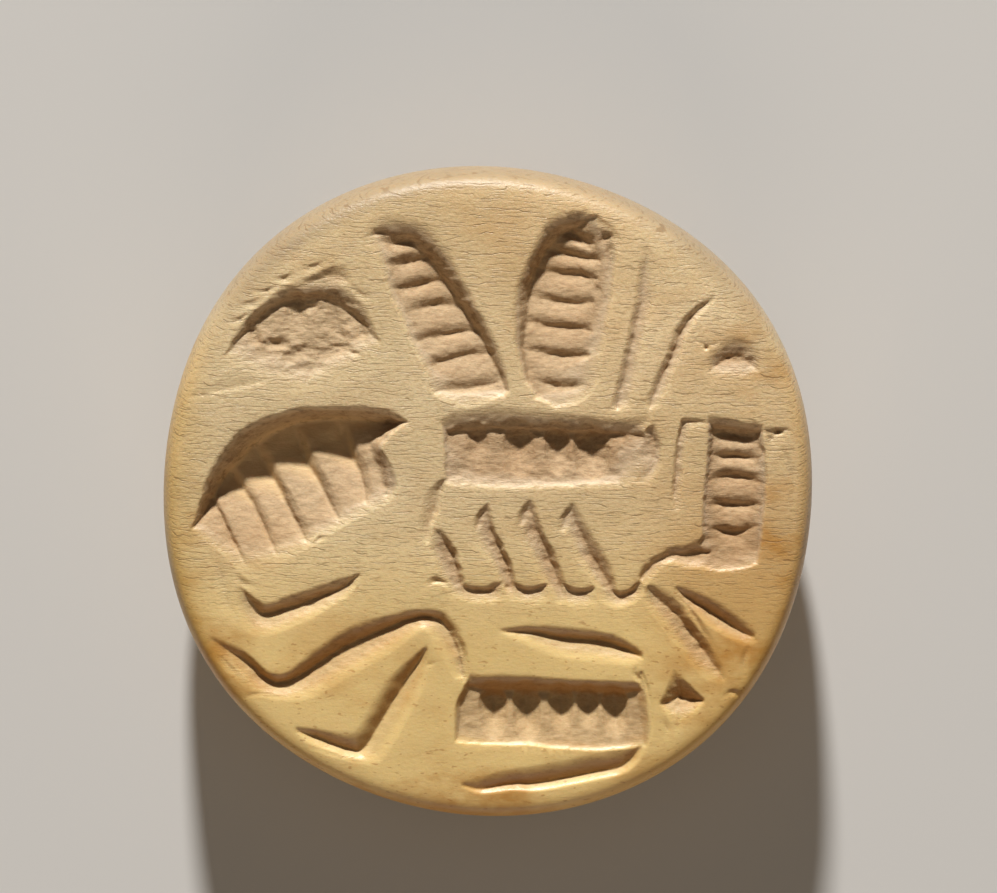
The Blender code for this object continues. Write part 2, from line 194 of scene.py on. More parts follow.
# %% The carver's tools
class Carving:
    """Depths of the carving, in millimetres, at a set of places on the face.

    The places wander by a few hundredths of a millimetre, and least near the bottom, where
    the cuts are clean. rough says how torn a place is and bare how much of its skin is lost.
    """

    def __init__(self, x, y):
        ragged = ease(-10.0, -3.0, y)
        self.x = x + (0.02 + 0.03 * ragged) * noise(x, y, 0.9, 0.5, 11, 2)
        self.x = self.x + (0.01 + 0.035 * ragged) * noise(x, y, 0.5, 0.26, 13, 3)
        self.y = y + (0.03 + 0.03 * ragged) * noise(x, y, 0.8, 0.45, 21, 2)
        self.y = self.y + (0.015 + 0.035 * ragged) * noise(x, y, 0.36, 0.16, 23, 2)
        self.depth = np.zeros(x.shape)
        self.rough = np.zeros(x.shape)
        self.bare = np.zeros(x.shape)

    def tell(self, piece):
        """Print what has been cut so far."""
        print(f"{piece} cut, {np.mean(self.depth > 0.02):.0%} of the map so far")

    def window(self, *lines):
        """The places in the lines' bounding rectangle, as indices."""
        points = np.vstack(lines)
        (x0, y0), (x1, y1) = points.min(axis=0) - 0.1, points.max(axis=0) + 0.1
        return np.nonzero((self.x > x0) & (self.x < x1) & (self.y > y0) & (self.y < y1))

    def cut(self, edge, crease, end, depth, lip=1.6, ramp=1.0, rough=0.3, bare=1.0, add=False, smooth=True):
        """A wall and a ramp, both closed at the crease's ends.

        wall: depth * (a / (a + c)) ** lip, with a the distance to the edge and c to the crease
        ramp: depth * (b / (b + c)) ** ramp, with b the distance to the ramp's end
        depth may be several numbers, which are then spread evenly along the crease.
        """
        edge, crease, end = (line_through(line, smooth) for line in (edge, crease, end))
        edge, end = (np.vstack([crease[:1], line, crease[-1:]]) for line in (edge, end))
        at = self.window(edge, crease, end)
        x, y = self.x[at], self.y[at]
        wall = inside(x, y, np.vstack([edge, crease[::-1]]))
        slope = inside(x, y, np.vstack([crease, end[::-1]])) & ~wall
        a = nearest(x, y, edge)[0]
        b = nearest(x, y, end)[0]
        c, _, share = nearest(x, y, crease)
        depths = np.atleast_1d(depth)
        full = np.interp(share, np.linspace(0, 1, len(depths)), depths)
        cut = np.where(wall, (a / (a + c + 1e-9)) ** lip, 0)
        cut = full * np.where(slope, (b / (b + c + 1e-9)) ** ramp, cut)
        self.apply(at, cut, rough, bare, add)

    def stroke(self, line, width, depth, lean=0.5, sharp=1.0, rough=0.0, bare=0.4, add=True):
        """A groove along a line: depth * (1 - distance / half width) ** sharp.

        lean is where its bottom lies between its left side, 0, and its right side, 1. width
        and depth may be several numbers, which are then spread evenly along the line.
        """
        line = line_through(line)
        widths, depths = np.atleast_1d(width), np.atleast_1d(depth)
        pad = np.array([[widths.max(), widths.max()]])
        at = self.window(line - pad, line + pad)
        far, side, share = nearest(self.x[at], self.y[at], line)
        half = np.interp(share, np.linspace(0, 1, len(widths)), widths)
        half = half * np.where(side > 0, lean, 1 - lean)
        full = np.interp(share, np.linspace(0, 1, len(depths)), depths)
        cut = full * np.clip(1 - far / (half + 1e-9), 0, 1) ** sharp
        self.apply(at, cut, rough, bare, add)

    def chip(self, line, width, depth, lean=0.5, bare=0.4):
        """A splintered stroke in the face itself, where it is deeper than what is there."""
        self.stroke(line, width, depth, lean, rough=1.0, bare=bare, add=False)

    def apply(self, at, cut, rough, bare, add):
        """Deepen these places: add to what is there inside a hollow, or take the deeper."""
        before = self.depth[at]
        if add:
            self.depth[at] = before + cut * ease(0.0, 0.25, before)
        else:
            self.depth[at] = np.maximum(before, cut)
        self.rough[at] = np.maximum(self.rough[at], rough * ease(0, 0.08, cut))
        self.bare[at] = np.maximum(self.bare[at], bare * ease(0.03, 0.2, cut))

    def fence(self, line, steep, reach):
        """An upright side: depth at most steep * distance left of a line, and none right of it.

        It is felt up to reach away. steep may be several numbers, spread evenly along the line.
        """
        line = line_through(line)
        pad = np.array([[reach, reach]])
        at = self.window(line - pad, line + pad)
        far, side, share = nearest(self.x[at], self.y[at], line)
        steeps = np.atleast_1d(steep)
        slope = np.interp(share, np.linspace(0, 1, len(steeps)), steeps)
        most = np.where(far > reach, np.inf, np.where(side > 0, slope * far, 0))
        self.depth[at] = np.minimum(self.depth[at], most)
        self.rough[at] *= ease(0.0, 0.1, most)
        self.bare[at] *= ease(0.0, 0.1, most)

    def pit(self, x, y, wide, high, depth, rough=0.3):
        """A small round-bottomed hole: depth * (1 - r^2) ^ 2, with r the distance in radii."""
        r2 = ((self.x - x) / wide) ** 2 + ((self.y - y) / high) ** 2
        cut = depth * np.clip(1 - r2, 0, 1) ** 2
        self.depth = self.depth + cut
        self.rough = np.maximum(self.rough, rough * ease(0, 0.05, cut))


trial = Carving(np.zeros(1), np.zeros(1))
trial.pit(*trial.x, *trial.y, 1.0, 1.0, 0.5)
print(f"the bottom of a trial pit is {trial.depth[0]:.2f} mm deep")

# %% [markdown]
# ## The places on the face
# The carving is worked out once, on a square map with a place every 0.04 mm. Each of the next
# cells makes its cuts in that map. The mesh and the finish look their values up in it later.
# The drawing was made a little too wide and too low, so the places are put right first.

# %% An uncut face
STEP = 0.04
DRAWN_WIDE = 1.01
DESIGN_RISE = 0.37

ticks = np.arange(-15.4, 15.4, STEP)
map_x, map_y = np.meshgrid(ticks, ticks, indexing="ij")
drawn_x, drawn_y = map_x * DRAWN_WIDE, map_y - DESIGN_RISE
carving = Carving(drawn_x, drawn_y)
print(f"a map of {len(ticks)} x {len(ticks)} places")

# %% [markdown]
# ## The two plumes
# Two leaf-shaped hollows lean apart at the top of the face. Each was cut deepest along the
# wall on the side of the other, and then notched across with a row of short strokes, so that
# its floor climbs in steps: a rounded hump, then a short drop to the next crease.

# %% The left plume
def ribs(carving, creases, rise, depth, rough=0.2):
    """A row of humps: each crease has a short wall above it and a rounded slope up to the next."""
    shifted = [[(x, y + rise) for x, y in crease] for crease in creases]
    for crease, wall, following in zip(creases, shifted, shifted[1:]):
        carving.cut(wall, crease, following, depth, lip=1.5, ramp=2.1, rough=rough, add=True)


carving.cut(
    [(-5.6, 12), (-5, 12.65), (-3.3, 12.65), (-2.2, 11.8), (-1.45, 10.6), (0.2, 7.5), (0.8, 6),
     (1.1, 4.6)],
    [(-5.5, 11.8), (-4.7, 11.75), (-3.6, 11.4), (-2.8, 10.7), (-2, 9.7), (-1.25, 8.6), (-0.4, 7.2),
     (0.3, 5.9), (0.9, 4.6)],
    [(-5.7, 11.7), (-5, 10.3), (-3.95, 7.9), (-3.5, 6.8), (-2.9, 5.6), (-2.4, 4.4), (-1, 3.9),
     (0.8, 4.4)],
    [0.06, 0.35, 0.6, 0.76, 0.8, 0.74, 0.6, 0.45, 0.25], lip=1.7, ramp=0.62, rough=0.45,
)
ribs(
    carving,
    [
        [(-5.1, 11.5), (-4.3, 11.35), (-2.9, 11.35)], [(-4.95, 10.35), (-3.8, 10.4), (-2.5, 10.7)],
        [(-4.5, 9.2), (-3.1, 9.4), (-1.75, 9.75)], [(-3.9, 8.15), (-2.25, 8.5), (-0.9, 8.4)],
        [(-3.5, 6.8), (-1.9, 7.15), (-0.1, 7.4)], [(-3, 5.7), (-1.1, 6.2), (0.4, 6.3)],
        [(-2.7, 4.55), (-0.7, 4.75), (0.8, 5.1)], [(-2.3, 3.9), (-0.7, 3.8), (0.8, 4)],
    ],
    0.46, [0.02, 0.17, 0.22, 0.24, 0.18, 0.02], rough=0.45,
)
carving.pit(-4.9, 11.85, 0.5, 0.3, 0.12, 0.8)
carving.tell("left plume")

# %% The right plume
carving.cut(
    [(4.75, 13), (3.6, 12.9), (2.7, 12.5), (2.1, 11.5), (1.55, 10.2), (1.1, 8.8), (1.1, 7.4),
     (1.25, 6.4), (1.6, 5.2), (2.2, 4.2)],
    [(4.7, 12.6), (4, 12), (3.2, 11.5), (2.7, 10.9), (2.2, 10), (1.9, 8.8), (1.75, 7.4), (1.7, 6.4),
     (1.9, 5.2), (2.4, 4.3)],
    [(5, 12.7), (6.1, 11.7), (6, 10.8), (5.85, 10), (5.6, 8.3), (5.3, 6.6), (5.15, 5.6), (4.9, 4.7),
     (4.2, 4.1), (3.2, 3.85)],
    [0.2, 0.68, 0.85, 0.85, 0.8, 0.7, 0.58, 0.5, 0.42, 0.3], lip=1.8, ramp=0.55, rough=0.4,
)
ribs(
    carving,
    [
        [(3, 11.9), (4, 11.7), (4.95, 11.25)], [(2.4, 11.05), (3.5, 10.8), (5.2, 10.5)],
        [(2.05, 10.15), (3.6, 9.9), (5.05, 9.7)], [(1.8, 8.95), (3.3, 8.6), (4.95, 8.6)],
        [(1.65, 7.75), (3.3, 7.5), (4.8, 7.35)], [(1.65, 6.5), (3, 6.25), (4.7, 6.2)],
        [(2.1, 5.15), (3.3, 4.8), (4.5, 4.9)], [(2.2, 4), (3, 3.8), (4.4, 3.9)],
    ],
    0.44, [0.03, 0.2, 0.24, 0.25, 0.16], rough=0.45,
)
carving.stroke(
    [(5.25, 12.1), (5.65, 11.1), (5.5, 9.9)], [0.6, 0.8, 0.7, 0.5], [0.02, 0.16, 0.18, 0.1, 0.02],
    lean=0.6, rough=1,
)
carving.pit(5.35, 11.65, 0.5, 0.35, 0.1, 1)
carving.cut(
    [(3.5, 11.9), (4.1, 11.75), (4.9, 11.35)], [(3.6, 11.7), (4.15, 11.5), (4.85, 11.05)],
    [(3.7, 11.4), (4.2, 11.2), (4.8, 10.8)], [0.05, 0.16, 0.1], add=True,
)
carving.tell("right plume")

# %% [markdown]
# ## The loaf and the big leaf
# At the left are two wide hollows. The upper one is a low loaf with a torn, fibrous floor.
# The lower one is the deepest cut of all: its wall throws a long shadow, and rounded tongues
# run down its floor to the lower lip, parted by narrow grooves.

# %% The loaf
carving.cut(
    [(-12.15, 6.15), (-11.5, 7.5), (-10.7, 8.4), (-9.9, 9.1), (-9.1, 9.55), (-8.3, 9.8), (-7.4, 9.9),
     (-6.6, 9.8), (-5.9, 9.1), (-5.3, 8.1), (-4.85, 6.85)],
    [(-12.1, 6.15), (-11.05, 7.4), (-10.4, 8), (-9.6, 8.5), (-8.6, 8.65), (-7.6, 8.75), (-6.8, 8.5),
     (-6.1, 8.05), (-5.6, 7.55), (-5.15, 7), (-4.9, 6.85)],
    [(-12.15, 6.1), (-12, 5.3), (-11.4, 4.6), (-10, 4.35), (-8.5, 4.6), (-7, 4.85), (-5.6, 5.4),
     (-4.85, 6.8)],
    [0.02, 0.22, 0.36, 0.44, 0.46, 0.48, 0.48, 0.48, 0.46, 0.36, 0.02], lip=1.6, ramp=0.7, rough=0.8,
    bare=0.8,
)
carving.cut(
    [(-9.4, 9.35), (-7.9, 10.05), (-7.1, 10.35), (-6.4, 10.3), (-6.1, 9.6)],
    [(-9.2, 9.2), (-8.5, 9.4), (-7.8, 9.7), (-7.1, 9.9), (-6.6, 9.8), (-6.3, 9.4)],
    [(-9, 8.6), (-8, 8.5), (-7.4, 8.4), (-6.9, 8.4), (-6.4, 8.5)], [0.04, 0.1, 0.16, 0.17, 0.16, 0.08],
    lip=1.2, ramp=0.45, rough=1, bare=0.4,
)
lobes = [
    ([(-8.75, 9), (-8.6, 8.3), (-8.65, 7.6), (-8.9, 6.9)], [0.9, 1.1, 0.9, 0.5], [0.2, 0.24, 0.12, 0]),
    (
        [(-10.9, 7.7), (-10.6, 7), (-10.3, 6.2), (-10.5, 5.6)], [0.5, 0.9, 0.9, 0.4],
        [0.05, 0.16, 0.1, 0],
    ),
    ([(-7, 8.6), (-6.9, 7.8), (-6.6, 7), (-6.7, 6.3)], [0.5, 1, 1, 0.5], [0.05, 0.14, 0.14, 0]),
    ([(-5.9, 7.8), (-5.7, 7.1), (-5.5, 6.4)], [0.5, 0.8, 0.4], [0.04, 0.14, 0]),
    (
        [(-10, 6.5), (-9.2, 6.2), (-8.4, 6.5), (-7.6, 6.35), (-6.8, 6.6), (-6, 6.3)],
        [0.6, 0.8, 0.8, 0.8, 0.6], [0.05, 0.12, 0.1, 0.12, 0.05],
    ),
    ([(-10.6, 5.7), (-9.4, 5.5), (-8.2, 5.75), (-7, 5.6), (-6.2, 5.8)], 0.6, [0, 0.07, 0.05, 0.07, 0]),
    ([(-12.6, 5.5), (-11.9, 5.5), (-11.3, 5.75), (-10.7, 5.6)], 0.4, [0.02, 0.09, 0.06, 0]),
]
for line, width, depth in lobes:
    carving.stroke(line, width, depth, lean=0.35, rough=0.9)
carving.stroke(
    [(-13.7, 4.3), (-11, 4.9), (-9.5, 5.2), (-7.8, 5.35)], [0.4, 0.7, 0.6, 0.3],
    [0.02, 0.07, 0.06, 0.01], lean=0.75, rough=0.6, bare=0.9, add=False,
)
chips = [
    [(-11.8, 7.85), (-11.3, 7.95), (-10.9, 8.2)], [(-11.4, 8.5), (-10.8, 8.6), (-10.3, 8.85)],
    [(-10.7, 9.15), (-10.1, 9.2), (-9.6, 9.5)], [(-9.8, 9.7), (-9.3, 9.75), (-8.8, 10)],
    [(-8.5, 10.2), (-8, 10.3), (-7.4, 10.55)], [(-6.3, 9.5), (-5.9, 9.1), (-5.4, 8.9)],
]
for chip in chips:
    carving.chip(chip, 0.45, [0.02, 0.11, 0.02], lean=0.4, bare=0.3)
carving.pit(-9.7, 6.75, 0.75, 0.38, 0.24, 0.8)
carving.pit(-8.1, 8.45, 0.4, 0.16, 0.1)
carving.pit(-6.1, 6.35, 0.4, 0.15, 0.08)
carving.tell("loaf")

# %% The big leaf
def furrow(carving, crease, right, left, depth, rough=0.2):
    """A slanting groove between two tongues: a short steep side right of it, a long one left."""
    edge = [(x + 0.9 * right, y + 0.43 * right) for x, y in crease]
    end = [(x - 0.9 * left, y - 0.43 * left) for x, y in crease]
    carving.cut(edge, crease, end, depth, lip=1.4, ramp=1.4, rough=rough, add=True)


carving.cut(
    [(-13.7, -1.7), (-13.35, -0.6), (-13, 0.6), (-12.4, 1.75), (-11.6, 2.7), (-10.7, 3.3), (-9.6, 3.65),
     (-8.6, 3.9), (-7, 4), (-5.2, 3.95), (-4.3, 3.75), (-3.5, 3.25)],
    [(-13.65, -1.75), (-13.1, -1.1), (-12.15, 0.4), (-11.5, 1.15), (-10.7, 1.95), (-9.8, 2.55),
     (-8.8, 2.95), (-7.5, 3.15), (-6.2, 3.15), (-4.4, 3), (-3.6, 3.1)],
    [(-13.8, -1.8), (-13.4, -2.8), (-12.7, -3.7), (-11.8, -4.35), (-11, -4.25), (-10.2, -3.7),
     (-9.2, -3.1), (-6.8, -1.7), (-5.6, -1), (-4.5, -0.5), (-3.7, 0), (-3.55, 0.8), (-3.7, 1.6),
     (-3.8, 2.4), (-3.6, 3)],
    [0.05, 0.6, 1, 1.2, 1.32, 1.38, 1.4, 1.42, 1.4, 1.35, 1.25, 1, 0.3], lip=1.5, ramp=0.95, rough=0.45,
)
furrows = [
    ([(-13.3, 0.2), (-12.7, -0.5), (-12.15, -1.5), (-11.6, -2.6), (-11.15, -3.5)], 0.25, 1, 0.2),
    (
        [(-12.4, 1.2), (-11.6, 0.3), (-11, -0.5), (-10.5, -1.3), (-10.1, -2.1), (-9.75, -2.95)], 0.45,
        1.3, 0.34,
    ),
    (
        [(-10.9, 2.2), (-10.1, 0.7), (-9.6, -0.1), (-9.15, -0.95), (-8.7, -1.7), (-8.35, -2.4)], 0.5,
        1.4, 0.42,
    ),
    ([(-9.1, 3), (-8.4, 1.3), (-8, 0.7), (-7.6, 0), (-7.2, -0.7), (-6.85, -1.35)], 0.5, 1.4, 0.44),
    ([(-7, 3.1), (-6.35, 1.7), (-6.1, 1.2), (-5.85, 0.6), (-5.7, 0), (-5.55, -0.55)], 0.5, 1.4, 0.44),
]
for crease, right, left, depth in furrows:
    furrow(carving, crease, right, left, [0, depth, depth, depth * 0.85, depth * 0.6, 0.12])
    carving.stroke(crease[1:], [0.25, 0.3, 0.3, 0.15], [0.05, 0.1, 0.1, 0.06], rough=0.5)
carving.stroke(
    [(-5.15, 2.2), (-4.65, 0.4), (-4.5, -0.2)], 1.1, [0.03, 0.06, 0.08, 0.06], lean=0.6, rough=1,
)
carving.stroke([(-10.6, -3.45), (-9, -2.65), (-7.2, -1.6), (-5.4, -0.6)], 0.4, 0.05, rough=0.9)
carving.stroke(
    [(-8.1, -2.35), (-7.75, -2.15), (-7.4, -2.05)], 0.35, [0.05, 0.14, 0.02], rough=0.9, add=False,
)
carving.pit(-4.85, 1.75, 0.3, 0.4, 0.1, 1)
carving.pit(-4.65, 1.05, 0.35, 0.35, 0.12, 1)
carving.pit(-4.5, 0.35, 0.4, 0.35, 0.14, 1)
carving.pit(-4.5, -0.1, 0.35, 0.2, 0.12, 0.9)
carving.fence(
    [(-4.9, -0.7), (-4.35, -0.3), (-4.1, 0.15), (-4.2, 0.7), (-4.45, 1.3), (-4.8, 1.9), (-4.85, 2.15),
     (-4.4, 2.7), (-3.9, 3.1), (-3.4, 3.3)],
    [0.6, 0.6, 0.65, 1.1, 4, 4], 1.3,
)
carving.tell("big leaf")

# %% [markdown]
# ## The two toothed bands
# Below the plumes and again near the bottom lies a long hollow with an upright upper wall.
# The carver set a gouge against that wall several times, side by side, and each stroke left
# a valley with a pointed tooth beside it. The floor is torn, and its lower lip is polished.

# %% The bands
def teeth(carving, valleys, top):
    """A row of valleys, each with its place, lower end, width and depth, closing to a point."""
    for x, low_end, width, depth in valleys:
        line = [(x - 0.12, top), (x - 0.04, (top + low_end) / 2), (x, low_end)]
        shape = [depth * share for share in (0.3, 1.0, 1.0, 0.85, 0.4, 0.0)]
        carving.stroke(line, [width * 0.7, width, width, width * 0.9, 0.5], shape, sharp=0.7)


carving.cut(
    [(-2.5, 2.9), (-2.2, 3.35), (-1.6, 3.75), (-0.9, 3.95), (0.5, 3.98), (2.1, 3.85), (4.1, 3.6),
     (5.8, 3.45), (7.6, 3.55)],
    [(-2.3, 2.6), (-1.5, 2.75), (-0.7, 2.84), (0.5, 2.86), (2.1, 2.8), (4.1, 2.67), (7.2, 2.6)],
    [(-2.4, 2.6), (-2.3, 1.2), (-2.1, 0.4), (-0.5, 0.2), (1.5, 0.12), (3.3, 0.12), (5.2, 0.2),
     (6.6, 0.3), (7.4, 1.2), (7.4, 2.5)],
    [0.28, 0.34, 0.36, 0.36, 0.37, 0.36, 0.34, 0.3], lip=1.25, ramp=0.7, rough=0.4,
)
carving.cut(
    [(-2.1, 2.85), (-1.5, 3), (-0.7, 3.08), (0.5, 3.1), (2.1, 3.04), (4.1, 2.9), (6.6, 2.8)],
    [(-1.95, 2.7), (-0.6, 2.83), (0.5, 2.85), (2.1, 2.8), (4.1, 2.66), (6.4, 2.6)],
    [(-2, 2.4), (-2.05, 1.6), (-2.1, 0.5), (-0.5, 0.32), (1.5, 0.22), (5.2, 0.35), (6.2, 0.45),
     (6.3, 1.2), (6.35, 2), (6.5, 2.5)],
    [0.4, 0.48, 0.52, 0.54, 0.55, 0.52, 0.42], lip=1, ramp=0.45, rough=0.7,
)
teeth(
    carving,
    [(-0.38, 1.1, 0.95, 0.28), (1.5, 0.65, 1.4, 0.42), (3.25, 0.7, 1.2, 0.42), (4.85, 0.4, 1.7, 0.52)],
    2.95,
)
carving.fence([(-2.2, 3.2), (-2.05, 2.6), (-2, 1.6), (-1.95, 0.4)], 1.3, 0.8)
carving.cut(
    [(7.7, 3.2), (8.05, 2.3), (8.05, 1.4), (7.8, 0.7), (7.3, 0.2)],
    [(7.45, 3), (7.7, 2.2), (7.7, 1.4), (7.4, 0.8), (6.9, 0.4)],
    [(6.8, 2.7), (6.2, 2.2), (6.2, 1.4), (6.1, 0.8), (5.9, 0.4)], [0.2, 0.28, 0.24, 0.15, 0.05],
    lip=1.3, ramp=0.7, rough=0.7,
)
carving.cut(
    [(-1.2, -8.1), (-0.5, -8.4), (0.8, -8.4), (2.3, -8.5), (4.9, -8.68), (7.3, -8.75)],
    [(-1, -8.9), (-0.4, -9.2), (0.8, -9.25), (2.3, -9.3), (3.6, -9.3), (4.9, -9.35), (6.3, -9.4),
     (7.2, -9.2)],
    [(-1.5, -8.9), (-2.1, -9.8), (-2.2, -11.4), (0, -11.7), (2, -11.75), (3.2, -11.9), (4.8, -12),
     (6.4, -11.9), (8.2, -11.7), (8.2, -10.4), (7.9, -9)],
    [0.3, 0.48, 0.54, 0.54, 0.55, 0.55, 0.5, 0.3], lip=1.5, ramp=0.42, rough=0.4,
)
teeth(
    carving,
    [
        (0.32, -11.5, 1.3, 0.47), (1.87, -11.7, 1.3, 0.48), (3.45, -11.3, 1.15, 0.42),
        (4.7, -11.1, 1, 0.4), (5.95, -11.5, 1.2, 0.48),
    ],
    -9.1,
)
carving.fence([(-0.8, -8.3), (-1.2, -9.2), (-1.5, -10), (-1.55, -11.7)], 1, 0.8)
carving.fence([(7.4, -12), (7.55, -11.3), (7.5, -10.3), (7.25, -8.6)], 0.62, 1.3)
carving.stroke(
    [(7.1, -8.4), (7.4, -9.2), (7.55, -10.2), (7.5, -11.3), (7.3, -12)], 0.3,
    [0.1, 0.08, 0.06, 0.08, 0.02], rough=0.9, add=False,
)
carving.tell("toothed bands")

# %% [markdown]
# ## The long bars
# The lower half is drawn with single cuts: a bar under the leaf, a zigzag that runs from the
# rim to the middle, a hook, a lens, a bottom stroke near the rim and two wedges at the right.
# They all have their steep side uppermost.

# %% The bars and wedges
carving.cut(
    [(-11.6, -3.7), (-11.1, -4.5), (-10.55, -5), (-9.9, -5), (-9, -4.65), (-7, -4), (-5.8, -3.75)],
    [(-11.45, -4.4), (-10.95, -5.1), (-10.45, -5.65), (-9.9, -5.65), (-9, -5.35), (-7.4, -4.8),
     (-6.6, -4.4), (-5.9, -3.85)],
    [(-11.9, -4.3), (-11.8, -5.6), (-10.9, -6.7), (-9.8, -6.6), (-8.8, -6.15), (-7.9, -5.75),
     (-7.1, -5.25), (-6.3, -4.7), (-5.75, -3.9)],
    [0.05, 0.25, 0.4, 0.44, 0.43, 0.42, 0.38, 0.28, 0.1], ramp=1.4, rough=0.45, bare=0.75,
)
carving.chip([(-11.6, -3.9), (-11.2, -4.3), (-10.8, -4.4)], 0.5, [0.03, 0.12, 0.02])
carving.chip(
    [(-12.7, -2.6), (-12.3, -3.8), (-12, -5), (-11.3, -6.2)], [0.6, 1, 1, 0.5],
    [0.02, 0.08, 0.08, 0.01], bare=0.9,
)
carving.cut(
    [(-13, -6.52), (-12, -6.92), (-11.2, -7.32), (-10.2, -8.22), (-9.8, -8.37), (-9.4, -8.32),
     (-8.85, -7.92), (-8, -7.22), (-7.1, -6.57), (-6.1, -6.02), (-4.9, -5.67), (-3.8, -5.42),
     (-3, -5.32), (-2.3, -5.37), (-1.7, -5.72), (-1.2, -6.32), (-0.95, -7.02), (-0.8, -7.82),
     (-0.75, -8.62)],
    [(-12.9, -6.72), (-11.1, -7.92), (-10.5, -8.52), (-9.9, -8.89), (-9.4, -8.89), (-8.75, -8.62),
     (-7.9, -8.07), (-7.35, -7.67), (-6.4, -7.14), (-4.55, -6.3), (-3.8, -6.02), (-3, -5.82),
     (-2.4, -5.87), (-2, -6.17), (-1.65, -6.72), (-1.4, -7.32), (-1.25, -7.92), (-1.15, -8.62)],
    [(-13.1, -6.92), (-12.6, -7.82), (-11.7, -8.62), (-11, -9.22), (-10.4, -9.52), (-9.4, -9.72),
     (-8.3, -9.62), (-7.4, -9.22), (-6.6, -8.72), (-5.7, -8.22), (-4.1, -7.22), (-3.5, -6.77),
     (-3.05, -6.42), (-2.8, -6.52), (-2.6, -6.92), (-2, -7.92), (-1.8, -8.32), (-1.5, -8.72)],
    [0.02, 0.16, 0.36, 0.42, 0.46, 0.5, 0.52, 0.52, 0.5, 0.45, 0.4, 0.3, 0.24, 0.18], lip=1.8, ramp=1.4,
    rough=0.4, bare=0.7,
)
carving.chip([(-1.75, -6.3), (-1.3, -7), (-1.1, -7.8), (-1.05, -8.6)], 0.55, [0.1, 0.2, 0.16, 0.1])
carving.chip(
    [(-12.6, -7.3), (-12, -8), (-11.2, -8.7), (-10.7, -9.2)], 0.6, [0.02, 0.1, 0.08, 0.02], bare=0.8,
)
carving.stroke(
    [(-8.8, -9.1), (-7.6, -8.5), (-6.4, -7.75), (-5.2, -7.2), (-4.2, -6.6)], 1.2,
    [0.02, 0.04, 0.04, 0.04, 0.01], rough=1, bare=0.8,
)
carving.chip(
    [(-11.1, -9.5), (-10.4, -9.35), (-9.6, -9.45), (-8.8, -9.4)], 0.35, [0.02, 0.1, 0.1, 0.02],
    bare=0.8,
)
carving.cut(
    [(-9.1, -10.85), (-7.9, -10.95), (-7, -11.1), (-6.3, -11.1), (-5.95, -10.75), (-5.5, -9.95),
     (-4.9, -9), (-4.2, -8.15), (-2.75, -6.95)],
    [(-8.9, -11), (-7.2, -11.75), (-6.5, -12), (-5.95, -12.1), (-5.55, -11.7), (-5.1, -10.95),
     (-4.05, -9.2), (-2.8, -7.2)],
    [(-9, -11.2), (-8.1, -11.85), (-7.2, -12.2), (-6.3, -12.5), (-5.1, -12.65), (-4.5, -12),
     (-3.3, -9.9), (-2.85, -8.9), (-2.6, -7.7)],
    [0.05, 0.26, 0.32, 0.36, 0.38, 0.4, 0.4, 0.4, 0.38, 0.32, 0.1], lip=1.7, ramp=1.4, rough=0.1,
    bare=0.5,
)
carving.stroke(
    [(-8.2, -11.85), (-6.3, -12.4), (-5.2, -12.6)], 0.3, [0.02, 0.07, 0.08, 0.02], rough=0.9, bare=0.9,
    add=False,
)
carving.stroke(
    [(-3.3, -7.75), (-2.9, -7.95), (-2.5, -7.9)], 0.3, [0.02, 0.08, 0.02], bare=0.8, add=False,
)
carving.cut(
    [(0.3, -6.3), (2.3, -6.1), (4.3, -6.25), (5.3, -6.4), (6.2, -6.7), (6.9, -7.1), (7.3, -7.5)],
    [(0.6, -6.4), (2.4, -6.55), (3.2, -6.75), (4.3, -6.85), (5.3, -6.95), (6.1, -7.22), (7.2, -7.7)],
    [(0.6, -6.55), (2.4, -7.4), (3.3, -7.7), (4.3, -7.85), (6.5, -8.1), (7.2, -8.1)],
    [0.04, 0.22, 0.34, 0.4, 0.42, 0.42, 0.38, 0.1], lip=1.8, ramp=1.6, rough=0.15, bare=0.85,
)
carving.cut(
    [(-1.5, -13.58), (-0.3, -13.18), (1, -12.83), (2.3, -12.63), (4.9, -12.13), (6.2, -11.88),
     (7.3, -11.48)],
    [(-1.2, -13.63), (-0.3, -13.83), (1.2, -13.63), (2.3, -13.63), (4.9, -13.13), (6.1, -12.86),
     (6.6, -12.48), (7.2, -11.68)],
    [(-1.3, -13.73), (-0.3, -14.03), (0.6, -13.98), (1.2, -13.88), (2.3, -13.93), (3.6, -13.7),
     (4.9, -13.43), (6.1, -13.18), (6.9, -12.68), (7.5, -11.68)],
    [0.06, 0.22, 0.3, 0.34, 0.36, 0.36, 0.34, 0.28, 0.08], lip=1.5, ramp=1.2, rough=0, bare=0.6,
)
carving.cut(
    [(8.7, -4.23), (9.4, -4.43), (10.75, -5.08), (11.75, -5.83), (12.2, -6.18), (12.55, -6.63)],
    [(8.7, -4.38), (9.28, -4.91), (10.5, -5.76), (11.65, -6.48), (12.4, -6.78)],
    [(8.45, -4.43), (8.95, -5.13), (9.6, -5.73), (10.35, -6.33), (11.6, -7.03), (12.1, -7.18),
     (12.6, -6.93)],
    [0.05, 0.28, 0.38, 0.42, 0.42, 0.38, 0.28, 0.1], lip=1.7, ramp=1.3, rough=0.3, bare=0.85,
)
carving.cut(
    [(7.45, -4.2), (8.1, -4.4), (8.7, -4.7), (9.25, -5.1), (9.45, -5.7), (9.95, -6.25), (10.3, -6.75),
     (10.9, -8), (11.15, -8.7)],
    [(7.4, -4.35), (7.8, -4.9), (8.75, -5.7), (9.1, -6.2), (10.27, -7.75), (10.95, -8.75)],
    [(7.1, -4.5), (7.3, -5.3), (7.8, -6), (8.7, -7.1), (9.55, -8.2), (10.2, -8.7), (10.8, -8.95)],
    [0.08, 0.26, 0.28, 0.3, 0.34, 0.38, 0.36, 0.28, 0.18, 0.05], ramp=1.1, rough=0.8, bare=0.8,
)
